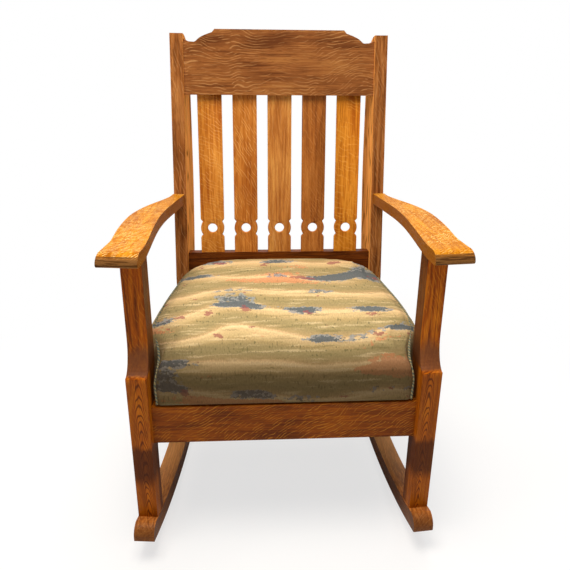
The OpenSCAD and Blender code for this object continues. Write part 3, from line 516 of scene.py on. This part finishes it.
# %% Materials of the hidden pieces
def bare_wood(name, dark, pale, grain, seed):
    """Planed softwood without varnish: straight grain and a dull surface."""
    material, tree, shader = new_material(name)
    place = add(tree, "TexCoord").outputs["Object"]
    board = add(tree, "Mapping", {"Vector": place, "Rotation": grain, "Location": (seed, seed, seed)})
    lines = add(tree, "Mapping", {"Vector": board, "Scale": (6, 160, 160)})
    lines = add(tree, "TexNoise", {"Vector": lines, "Scale": 1, "Detail": 4})
    colour = add(tree, "ValToRGB", {"Fac": lines}, stops=[(0.3, dark), (0.7, pale)])
    tree.links.new(colour.outputs[0], shader.inputs["Base Color"])
    bump = add(tree, "Bump", {"Height": lines, "Strength": 0.2, "Distance": 0.0005})
    tree.links.new(bump.outputs[0], shader.inputs["Normal"])
    shader.inputs["Roughness"].default_value = 0.75
    return material


def woven(name, dark, pale, thread):
    """Plain weave: two sets of threads that cross, a given distance apart."""
    material, tree, shader = new_material(name)
    place = add(tree, "TexCoord").outputs["Object"]
    per_metre = math.pi / thread / 10
    warp = add(tree, "TexWave", {"Vector": place, "Scale": per_metre, "Distortion": 0.6, "Detail": 1},
               bands_direction="X")
    weft = add(tree, "TexWave", {"Vector": place, "Scale": per_metre, "Distortion": 0.6, "Detail": 1},
               bands_direction="Y")
    cloth = add(tree, "Math", {0: warp.outputs["Fac"], 1: weft.outputs["Fac"]}, operation="MULTIPLY")
    fibre = add(tree, "TexNoise", {"Vector": place, "Scale": 240, "Detail": 3})
    mixed = add(tree, "Math", {0: cloth, 1: fibre}, operation="ADD")
    colour = add(tree, "ValToRGB", {"Fac": mixed}, stops=[(0.35, dark), (0.95, pale)])
    tree.links.new(colour.outputs[0], shader.inputs["Base Color"])
    bump = add(tree, "Bump", {"Height": mixed, "Strength": 0.6, "Distance": 0.0008})
    tree.links.new(bump.outputs[0], shader.inputs["Normal"])
    shader.inputs["Roughness"].default_value = 0.95
    return material


def spring_steel():
    """Drawn steel wire with a thin brown film of age."""
    material, tree, shader = new_material("drawn_steel_wire")
    place = add(tree, "TexCoord").outputs["Object"]
    film = add(tree, "TexNoise", {"Vector": place, "Scale": 60, "Detail": 4})
    colour = add(tree, "ValToRGB", {"Fac": film}, stops=[(0.4, "#8f8a84"), (0.7, "#6d5a4a")])
    tree.links.new(colour.outputs[0], shader.inputs["Base Color"])
    rough = add(tree, "MapRange", {"Value": film, "To Min": 0.25, "To Max": 0.6})
    tree.links.new(rough.outputs[0], shader.inputs["Roughness"])
    shader.inputs["Metallic"].default_value = 1.0
    return material


cambric = woven("black_cambric", "#121212", "#2a2a28", 0.001)
softwood = bare_wood("planed_softwood_across", "#b08a58", "#d2b07c", GRAIN_ACROSS, 2.0)
softwood_back = bare_wood("planed_softwood_along", "#b08a58", "#d2b07c", GRAIN_BACKWARDS, 5.0)
birch = bare_wood("birch_dowel", "#c09a68", "#dcbc8c", GRAIN_ACROSS, 8.0)
hidden = {
    softwood: ["seat_frame_front", "seat_frame_back", "corner_blocks"],
    softwood_back: ["seat_frame_left", "seat_frame_right"],
    birch: ["front_rail_dowels", "side_rail_dowels", "back_seat_rail_dowels", "back_dowels", "runner_pegs",
            "arm_dowels", "seat_frame_dowels"],
    woven("jute_webbing", "#8a6a3c", "#c2a06a", 0.003): ["webbing_lengthwise", "webbing_crosswise"],
    woven("burlap", "#8d7044", "#c4a673", 0.002): ["burlap_sheet"],
    spring_steel(): ["seat_springs", "corner_block_screws"],
}
for material, names in hidden.items():
    for node in names:
        dress(nodes[node], material)
print("hidden pieces:", sum(len(names) for names in hidden.values()))


# %% [markdown]
# ## The tapestry
#
# The seat is covered in a woven tapestry. Its ground is a pale khaki with long wavy bands, like low hills,
# and here and there lie clumps of slate-blue leaves, coral patches and small wine-red touches. The pattern is
# made from noise alone. It is laid out on one flat sheet that runs over the top of the seat and down its
# front, by adding height to depth, so the bands don't break at the front edge. The welt suggests that the
# side panels were cut on their own, so there the sheet runs along the depth, and their bands lie level too.

# %% The tapestry material
# Heights between which painted shade darkens the front roll of the seat
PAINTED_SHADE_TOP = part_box("seat_cushion")[1].z - 0.019
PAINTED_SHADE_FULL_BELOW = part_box("seat_cushion")[0].z + 0.062
print("cloth: painted shade below", round(PAINTED_SHADE_TOP, 3), "m, dark below", round(PAINTED_SHADE_FULL_BELOW, 3), "m")

HILLS_PER_METRE = 13.0
HILL_SWELL = 2.1
THREAD_FRAY = 0.009


def cloth_sheet(tree, split):
    """The flat sheet on which the pattern is laid out, with the side panels cut on their own."""
    run = add(tree, "Math", {0: split.outputs["Y"], 1: split.outputs["Z"]}, operation="ADD")
    sheet = add(tree, "CombineXYZ", {"X": split.outputs["X"], "Y": run})
    panel = add(tree, "CombineXYZ", {"X": split.outputs["Y"], "Y": split.outputs["Z"]})
    aside = rise(tree, facing(tree, "X"), 0.7, 0.74)
    ahead_share = add(tree, "Math", {0: 1.0, 1: aside}, operation="SUBTRACT")
    sheet = add(tree, "VectorMath", {0: sheet, "Scale": ahead_share}, operation="SCALE")
    panel = add(tree, "VectorMath", {0: panel, "Scale": aside}, operation="SCALE")
    return add(tree, "VectorMath", {0: sheet, 1: panel}, operation="ADD")


def tapestry():
    """Woven tapestry of hilly bands with bushes, coral patches and wine-red touches on a khaki ground."""
    material, tree, shader = new_material("woven_tapestry")
    place = add(tree, "TexCoord").outputs["Object"]
    split = add(tree, "SeparateXYZ", {0: place})
    sheet = cloth_sheet(tree, split)

    def noise(vector, scale, shift=(0, 0), detail=1.0):
        """A noise that is stretched over the sheet: features per metre each way, moved by a shift."""
        spread = add(tree, "Mapping", {"Vector": vector, "Scale": (*scale, 1), "Location": (*shift, 0)})
        return add(tree, "TexNoise", {"Vector": spread, "Scale": 1, "Detail": detail})

    # Threads of 1 mm, drawn 2.5 mm apart so that a pixel can hold them; they also fray every edge
    thread = noise(sheet, (400, 150), detail=2)
    fray = add(tree, "VectorMath", {0: thread.outputs["Color"], 1: (0.5, 0.5, 0.5)}, operation="SUBTRACT")
    fray = add(tree, "VectorMath", {0: fray, "Scale": THREAD_FRAY}, operation="SCALE")
    drawn = add(tree, "VectorMath", {0: sheet, 1: fray}, operation="ADD")
    drawn_run = add(tree, "SeparateXYZ", {0: drawn}).outputs["Y"]

    # Hills: bands 75 mm deep that rise and fall, each lightest along its crest
    swell = noise(drawn, (3.4, 4.5), (3.1, 0.4), detail=1.5)
    phase = add(tree, "Math", {0: drawn_run, 1: HILLS_PER_METRE}, operation="MULTIPLY")
    phase = add(tree, "Math", {0: swell, 1: HILL_SWELL, 2: phase}, operation="MULTIPLY_ADD")
    phase = add(tree, "Math", {0: phase}, operation="FRACT")
    colour = add(tree, "ValToRGB", {"Fac": phase}, stops=[
        (0.0, "#9c8b5f"), (0.22, "#a28f62"), (0.36, "#b59b6a"), (0.42, "#c3a977"), (0.56, "#cfb180"),
        (0.66, "#e0c290"), (0.71, "#ceac7c"), (0.76, "#b09567"), (0.9, "#a08c60"), (1.0, "#9c8b5f"),
    ])
    streak = noise(drawn, (12, 110), (5.5, 1.5), detail=2)
    colour = tint(tree, colour, rise(tree, streak, 0.55, 0.68), "#e6cd9e", 0.5)
    colour = tint(tree, colour, rise(tree, streak, 0.42, 0.3), "#776e43", 0.5)

    def patches(scale, level, shift, low, high, lobes):
        """Ragged patches that keep to one part of every band."""
        big = noise(drawn, scale, shift, detail=0.5)
        small = noise(drawn, (lobes, lobes * 1.3), shift, detail=1.5)
        both = add(tree, "Math", {0: small, 1: 0.25, 2: big}, operation="MULTIPLY_ADD")
        kept = {0: rise(tree, phase, low, low + 0.12), 1: rise(tree, phase, high, high - 0.12)}
        kept = add(tree, "Math", kept, operation="MULTIPLY")
        both = add(tree, "Math", {0: kept, 1: 0.12, 2: both}, operation="MULTIPLY_ADD")
        return rise(tree, both, level, level + 0.015)

    for mask, hue, amount in (
        (patches((5.5, 10.0), 0.845, (7.3, 2.2), 0.15, 0.6, 90), "#d0845a", 0.65),
        (patches((8.0, 9.0), 0.785, (1.9, 8.6), 0.5, 0.9, 75), "#8b9092", 0.8),
        (patches((8.0, 9.0), 0.815, (1.9, 8.6), 0.5, 0.9, 130), "#4c565a", 0.8),
        (patches((26.0, 32.0), 0.915, (4.4, 5.1), 0.3, 0.8, 110), "#94504e", 0.75),
    ):
        colour = tint(tree, colour, mask, hue, amount)

    # Short upright strokes, as grass is drawn in tapestry, in rows on the lower part of a band
    stroke = noise(sheet, (230, 75), detail=0)
    stroke = {0: rise(tree, stroke, 0.68, 0.74), 1: rise(tree, phase, 0.5, 0.3)}
    stroke = add(tree, "Math", stroke, operation="MULTIPLY")
    colour = tint(tree, colour, stroke, "#5f5c3c", 0.6)
    # Painted shade: the colour darkens to olive brown down the front roll, as if the roll lay in shade
    painted_shade = rise(tree, split.outputs["Z"], PAINTED_SHADE_TOP, PAINTED_SHADE_FULL_BELOW)
    colour = tint(tree, colour, painted_shade, "#35240c", 0.8)
    dim = add(tree, "MapRange", {"Value": thread, "From Min": 0.3, "From Max": 0.7,
                                 "To Min": 0.84, "To Max": 1.1})
    colour = add(tree, "VectorMath", {0: colour, "Scale": dim}, operation="SCALE")
    tree.links.new(colour.outputs[0], shader.inputs["Base Color"])

    warp = add(tree, "TexWave", {"Vector": sheet, "Scale": 120, "Distortion": 1}, bands_direction="X")
    weft = add(tree, "TexWave", {"Vector": sheet, "Scale": 160, "Distortion": 1}, bands_direction="Y")
    weave = add(tree, "Math", {0: warp.outputs["Fac"], 1: weft.outputs["Fac"]}, operation="ADD")
    weave = add(tree, "Math", {0: weave, 1: thread}, operation="ADD")
    bump = add(tree, "Bump", {"Height": weave, "Strength": 0.35, "Distance": 0.0006})
    tree.links.new(bump.outputs[0], shader.inputs["Normal"])
    shader.inputs["Roughness"].default_value = 0.95
    shader.inputs["Specular IOR Level"].default_value = 0.15
    return material


# %% [markdown]
# ## The cushion
#
# The seat's top is stuffed over springs, so it is fullest in the middle, rolls over at the front and is drawn
# down to the frame at its lower edge. The frame's cushion already has that outline and crown, but its skin is
# as even as a drawing. Blender's cloth solver blows a copy of it up, with the lower edge tacked down, and the
# skin then swells and strains as real cloth does.

# %% Take the cushion's outer skin from the frame
def only(piece):
    """Makes a piece the one that is selected and active."""
    bpy.ops.object.select_all(action="DESELECT")
    piece.select_set(True)
    bpy.context.view_layer.objects.active = piece


UNDERSIDE = 0.0005
LOWEST_ROW, NEXT_ROWS = 0.002, 0.03

cushion = bpy.data.objects.new("upholstered_seat", nodes["seat_cushion"].data.copy())
bpy.context.scene.collection.objects.link(cushion)
seat_low, seat_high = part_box("seat_cushion")
only(cushion)
bpy.ops.object.mode_set(mode="EDIT")
bpy.ops.mesh.select_all(action="SELECT")
bpy.ops.mesh.remove_doubles(threshold=SAME_POINT)
bpy.ops.mesh.select_all(action="DESELECT")
bpy.ops.object.mode_set(mode="OBJECT")
# The flat underside goes first, and then the walls of the hollow inside, so only the outer skin is left
for face in cushion.data.polygons:
    face.select = face.normal.z < -0.99 and face.center.z < seat_low.z + UNDERSIDE
bpy.ops.object.mode_set(mode="EDIT")
bpy.ops.mesh.delete(type="FACE")
bpy.ops.mesh.select_all(action="DESELECT")
bpy.ops.object.mode_set(mode="OBJECT")
top = max(cushion.data.vertices, key=lambda v: v.co.z)
top.select = True
bpy.ops.object.mode_set(mode="EDIT")
bpy.ops.mesh.select_linked()
bpy.ops.mesh.select_all(action="INVERT")
bpy.ops.mesh.delete(type="VERT")
bpy.ops.mesh.select_all(action="DESELECT")
bpy.ops.object.mode_set(mode="OBJECT")
# The lowest row of points is set straight below the next one, and the hole is closed again
lowest = [v for v in cushion.data.vertices if v.co.z < seat_low.z + LOWEST_ROW]
above = [v for v in cushion.data.vertices if seat_low.z + LOWEST_ROW <= v.co.z < seat_low.z + NEXT_ROWS]
for v in lowest:
    over = min(above, key=lambda other: (other.co.xy - v.co.xy).length)
    v.co.xy = over.co.xy
bpy.ops.object.mode_set(mode="EDIT")
bpy.ops.mesh.select_mode(type="EDGE")
bpy.ops.mesh.select_non_manifold()
bpy.ops.mesh.edge_face_add()
bpy.ops.mesh.select_all(action="SELECT")
bpy.ops.mesh.normals_make_consistent(inside=False)
bpy.ops.mesh.select_mode(type="VERT")
bpy.ops.object.mode_set(mode="OBJECT")
print("cushion skin:", len(cushion.data.vertices), "points")


# %% Remesh it and blow it up
VOXEL = 0.0054
TACKED_HEIGHT = 0.008
SWELL_FRAMES = 20

remesh = cushion.modifiers.new("voxels", "REMESH")
remesh.mode = "VOXEL"
remesh.voxel_size = VOXEL
bpy.ops.object.modifier_apply(modifier="voxels")
start = [v.co.copy() for v in cushion.data.vertices]
outward = [v.normal.copy() for v in cushion.data.vertices]
tacked = cushion.vertex_groups.new(name="tacked")
for v in cushion.data.vertices:
    if v.co.z < seat_low.z + TACKED_HEIGHT:
        tacked.add([v.index], 1.0, "REPLACE")
print("cushion remeshed:", len(cushion.data.vertices), "points")

cloth = cushion.modifiers.new("swell", "CLOTH")
cloth.settings.quality = 6
cloth.settings.mass = 0.3
cloth.settings.tension_stiffness = 5
cloth.settings.compression_stiffness = 5
cloth.settings.shear_stiffness = 2
cloth.settings.bending_stiffness = 0.3
cloth.settings.use_pressure = True
cloth.settings.uniform_pressure_force = 12
cloth.settings.vertex_group_mass = "tacked"
cloth.settings.effector_weights.gravity = 0
cloth.point_cache.frame_start = 1
cloth.point_cache.frame_end = SWELL_FRAMES
for step in range(1, SWELL_FRAMES + 1):
    bpy.context.scene.frame_set(step)
only(cushion)
bpy.ops.object.modifier_apply(modifier="swell")
bpy.context.scene.frame_set(1)
moves = [(v.co - was).dot(out) for v, was, out in zip(cushion.data.vertices, start, outward)]
print("swell wanted, mm:", round(min(moves) * 1000, 1), "to", round(max(moves) * 1000, 1))


# %% [markdown]
# The seat sits in a close place: between the front legs, in front of the posts and just above the rails. The
# cloth solver knows nothing of them, so the skin keeps only the part of each move that goes straight in or
# out, and of that a few millimetres, as the wood itself allows it on the real chair. The bottom is then
# lifted off the dust cover, which lies under it.

# %% Keep the cushion clear of the wood, then smooth it
MOST_IN, MOST_OUT = -0.001, 0.0035
BOTTOM_LIFT = 0.006
for v, was, out, move in zip(cushion.data.vertices, start, outward, moves):
    move = max(MOST_IN, min(MOST_OUT, move))
    if was.z < seat_low.z + TACKED_HEIGHT:
        move = 0
    v.co = was + out * move
    v.co.y = max(seat_low.y - MOST_OUT, v.co.y)
    if out.z < -0.9 and was.z < seat_low.z + VOXEL / 2:
        v.co.z += BOTTOM_LIFT
smooth = cushion.modifiers.new("smooth", "SUBSURF")
smooth.levels = smooth.render_levels = 1
only(cushion)
bpy.ops.object.modifier_apply(modifier="smooth")
bpy.ops.object.shade_smooth()
dress(cushion, tapestry())
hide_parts("seat_cushion")
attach(cushion, "seat")
print("cushion:", len(cushion.data.polygons), "faces")


# %% [markdown]
# ## The welt
#
# A welt is a cord sewn into a strip of cloth. Here it runs up each front corner and back along the side of
# the seat. Its line is found on the swollen skin: rays come in from outside, towards the corner at each
# height and then down on the side, and the cord is laid where they meet it. The lower edge of the skin is
# round, and a ray at its very bottom can pass beneath it and meet the far side of the seat. So the lowest ray
# starts higher, and the cord's foot hangs straight down from there. The line is smoothed last, which takes it
# up to 4 mm from the skin where it bends at the shoulder; the last print says how far.

# %% The welt's cloth
def welt_cloth():
    """Slate and tan cloth wound round a cord, with its threads on the slant."""
    material, tree, shader = new_material("welt_cloth")
    place = add(tree, "TexCoord").outputs["Object"]
    slant = add(tree, "TexWave", {"Vector": place, "Scale": 70, "Distortion": 6, "Detail": 3},
                bands_direction="DIAGONAL")
    colour = add(tree, "ValToRGB", {"Fac": slant.outputs["Fac"]},
                 stops=[(0.2, "#4b544b"), (0.55, "#6f6c50"), (0.85, "#94845a")])
    tree.links.new(colour.outputs[0], shader.inputs["Base Color"])
    bump = add(tree, "Bump", {"Height": slant.outputs["Fac"], "Strength": 0.4, "Distance": 0.0006})
    tree.links.new(bump.outputs[0], shader.inputs["Normal"])
    shader.inputs["Roughness"].default_value = 0.9
    return material


# %% Lay the welt on the swollen skin
WELT_RADIUS = 0.0024
WELT_STANDS_OUT = 0.0008
WELT_FOOT, LOWEST_RAY = 0.004, 0.011
CORNER_STEPS, SIDE_STEPS, ROUND_STEPS = 12, 40, 10
RAY_LENGTH = 0.4
INSIDE_LEG = 0.075
WELT_LEVEL, WELT_DROP, WELT_END = 0.66, 0.03, 0.075
SMOOTHING_PASSES = 6
cushion_tree = BVHTree.FromObject(cushion, bpy.context.evaluated_depsgraph_get())


def skin_at(origin, towards):
    """The place where a ray that comes in against a direction meets the skin, moved out a little."""
    towards = towards.normalized()
    place, normal, _, _ = cushion_tree.ray_cast(origin + towards * RAY_LENGTH, -towards)
    return place + normal * WELT_STANDS_OUT


def welt_line(side):
    """The points that the welt follows on one side of the seat."""
    side_high = seat_low.z + WELT_LEVEL * (seat_high.z - seat_low.z)
    within = side * (LEG_MIDDLE - INSIDE_LEG)
    line = []
    front_in = Vector((within, seat_low.y + 0.04, 0))
    for step in range(CORNER_STEPS + 1):
        t = step / CORNER_STEPS
        origin = front_in.copy()
        origin.z = seat_low.z + LOWEST_RAY + (side_high - WELT_DROP - LOWEST_RAY - seat_low.z) * t
        line.append(skin_at(origin, Vector((side, -0.75 + 0.1 * t, 0.15 * t))))
    start_y = seat_low.y + 0.045
    back_y = seat_high.y - WELT_END
    for step in range(1, SIDE_STEPS + 1):
        t = step / SIDE_STEPS
        origin = Vector((within, start_y + (back_y - start_y) * t, side_high - WELT_DROP))
        climb = min(1, t * 5)
        line.append(skin_at(origin, Vector((side, -0.65 * (1 - climb), 0.15 + 0.75 * climb))))
    line.insert(0, Vector((line[0].x, line[0].y, seat_low.z + WELT_FOOT)))
    for _ in range(SMOOTHING_PASSES):
        line[1:-1] = [(a + 2 * b + c) / 4 for a, b, c in zip(line, line[1:], line[2:])]
    return line


def cord_mesh(lines, radius):
    """The points and faces of round cords along lines, closed at their ends."""
    points, faces = [], []
    for line in lines:
        first = len(points)
        side_way = Vector((1, 0, 0))
        for index, centre in enumerate(line):
            along = (line[min(index + 1, len(line) - 1)] - line[max(index - 1, 0)]).normalized()
            side_way = (side_way - along * side_way.dot(along)).normalized()
            up_way = along.cross(side_way)
            for k in range(ROUND_STEPS):
                angle = 2 * math.pi * k / ROUND_STEPS
                points.append(centre + radius * (math.cos(angle) * side_way + math.sin(angle) * up_way))
                if index:
                    here = first + index * ROUND_STEPS
                    k2 = (k + 1) % ROUND_STEPS
                    faces.append((here + k - ROUND_STEPS, here + k2 - ROUND_STEPS, here + k2, here + k))
        last = first + (len(line) - 1) * ROUND_STEPS
        faces.append(tuple(first + k for k in reversed(range(ROUND_STEPS))))
        faces.append(tuple(last + k for k in range(ROUND_STEPS)))
    return points, faces


welt_mesh = bpy.data.meshes.new("side_welt")
welt_lines = [welt_line(-1), welt_line(1)]
welt_points, welt_faces = cord_mesh(welt_lines, WELT_RADIUS)
welt_mesh.from_pydata(welt_points, [], welt_faces)
welt = bpy.data.objects.new("side_welt", welt_mesh)
bpy.context.scene.collection.objects.link(welt)
only(welt)
bpy.ops.object.shade_smooth()
dress(welt, welt_cloth())
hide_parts("seat_welt")
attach(welt, "seat")
off_skin = max(cushion_tree.find_nearest(place)[3] for line in welt_lines for place in line)
print("welt:", len(welt.data.polygons), "faces, at most", round(off_skin * 1000, 2), "mm from the skin")


# %% [markdown]
# ## The dust cover
#
# A thin black cloth is tacked under the seat frame. It is cut to the frame's outline, and hangs a little in
# the middle, where nothing holds it. It is made as a grid whose rows reach from side to side of the frame's
# own cover, and it gets its thickness last.

# %% Hang the dust cover
COVER_ROWS, COVER_COLUMNS = 28, 30
COVER_SAG = 0.004
COVER_THICKNESS = 0.0004
COVER_LIFT = 0.0003
FREE_SHARE = 0.8
NO_DEPTH = 1e-6
cover_low, cover_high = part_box("dust_cover")
edges = nodes["dust_cover"].data
rim = [edges.vertices[i].co for e in edges.edges for i in e.vertices]
pairs = list(zip(rim[0::2], rim[1::2]))


def cover_half(y):
    """Half the width of the frame's cover at a depth y."""
    reach = 0.0
    for a, b in pairs:
        if abs(a.y - b.y) > NO_DEPTH and min(a.y, b.y) - NO_DEPTH <= y <= max(a.y, b.y) + NO_DEPTH:
            reach = max(reach, abs(a.x + (b.x - a.x) * (y - a.y) / (b.y - a.y)))
    return reach


points, faces = [], []
for row in range(COVER_ROWS + 1):
    v = row / COVER_ROWS
    y = cover_low.y + (cover_high.y - cover_low.y) * v
    half = cover_half(y)
    for column in range(COVER_COLUMNS + 1):
        u = 2 * column / COVER_COLUMNS - 1
        sag = COVER_SAG * max(0, 1 - (abs(u) / FREE_SHARE) ** 3)
        sag = sag * max(0, 1 - (abs(2 * v - 1) / FREE_SHARE) ** 3)
        points.append((u * half, y, cover_low.z + COVER_LIFT - sag))
        if row and column:
            here = row * (COVER_COLUMNS + 1) + column
            before = here - COVER_COLUMNS - 1
            faces.append((before - 1, before, here, here - 1))
cover_mesh = bpy.data.meshes.new("underside_cloth")
cover_mesh.from_pydata(points, [], faces)
cover = bpy.data.objects.new("underside_cloth", cover_mesh)
bpy.context.scene.collection.objects.link(cover)
only(cover)
bpy.ops.object.shade_smooth()
thick = cover.modifiers.new("thickness", "SOLIDIFY")
thick.thickness = COVER_THICKNESS
thick.offset = 1
dress(cover, cambric)
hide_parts("dust_cover")
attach(cover, "seat")


# %% [markdown]
# ## Floor and light
#
# The chair stands on a white floor in a white room. To the camera the floor is mixed with pure white, more so
# far from the chair, so that the background is white but the chair's shadow stays. The room is white to the
# camera and to reflections, and gives a softer light to everything else.

# %% The studio
FLOOR_SIDE = 14
SHADOW_END, WHITE_START = 0.45, 1.0
WHITE_BY_THE_CHAIR = 0.68
SOFT_LEVEL = 0.22

bpy.ops.object.select_all(action="DESELECT")
bpy.ops.mesh.primitive_plane_add(size=FLOOR_SIDE, location=(0, 0, 0))
floor = bpy.context.object
floor.name = "floor"
floor_paint, floor_tree, floor_shader = new_material("white_floor")
floor_shader.inputs["Base Color"].default_value = linear("#f6f5f4")
floor_shader.inputs["Roughness"].default_value = 0.9
floor_shader.inputs["Specular IOR Level"].default_value = 0.1
floor_place = add(floor_tree, "TexCoord").outputs["Object"]
floor_reach = add(floor_tree, "VectorMath", {0: floor_place}, operation="LENGTH").outputs["Value"]
floor_far = rise(floor_tree, floor_reach, SHADOW_END, WHITE_START)
floor_seen = add(floor_tree, "LightPath").outputs["Is Camera Ray"]
floor_pale = add(floor_tree, "Math", {0: floor_far, 1: WHITE_BY_THE_CHAIR}, operation="MAXIMUM")
floor_white = add(floor_tree, "Math", {0: floor_pale, 1: floor_seen}, operation="MULTIPLY")
floor_glow = add(floor_tree, "Emission", {"Color": linear("#ffffff"), "Strength": 1.0})
floor_mix = add(floor_tree, "MixShader", {0: floor_white, 1: floor_shader, 2: floor_glow})
floor_out = floor_tree.nodes["Material Output"]
floor_tree.links.new(floor_mix.outputs[0], floor_out.inputs["Surface"])
dress(floor, floor_paint)

room = bpy.data.worlds.new("white_room")
bpy.context.scene.world = room
room.use_nodes = True
room_tree = room.node_tree
room_tree.nodes.clear()
rays = add(room_tree, "LightPath")
seen = add(room_tree, "Math", {0: rays.outputs["Is Camera Ray"], 1: rays.outputs["Is Glossy Ray"]},
           operation="MAXIMUM")
seen = add(room_tree, "Math", {0: seen, 1: rays.outputs["Is Transmission Ray"]}, operation="MAXIMUM")
level = add(room_tree, "MapRange", {"Value": seen, "To Min": SOFT_LEVEL, "To Max": 1.0})
sky = add(room_tree, "Background", {"Color": linear("#ffffff"), "Strength": level})
add(room_tree, "OutputWorld", {"Surface": sky})


def soft_lamp(name, place, aim, size, watts, colour="#ffffff"):
    """A square area lamp that looks at a point."""
    lamp = bpy.data.objects.new(name, bpy.data.lights.new(name, "AREA"))
    bpy.context.scene.collection.objects.link(lamp)
    lamp.location = place
    lamp.rotation_euler = (Vector(aim) - Vector(place)).to_track_quat("-Z", "Y").to_euler()
    lamp.data.size = size
    lamp.data.energy = watts
    lamp.data.color = linear(colour)[:3]


soft_lamp("key", (-0.3, -0.55, 2.5), (0, 0.05, 0.4), 1.2, 62, "#fff8ee")
soft_lamp("back", (0.3, 1.1, 2.6), (0, 0, 0.4), 1.4, 30)
soft_lamp("front", (0.5, -2.6, 1.9), (0, 0, 0.5), 1.6, 5)
print("studio: floor, room and 3 lamps")
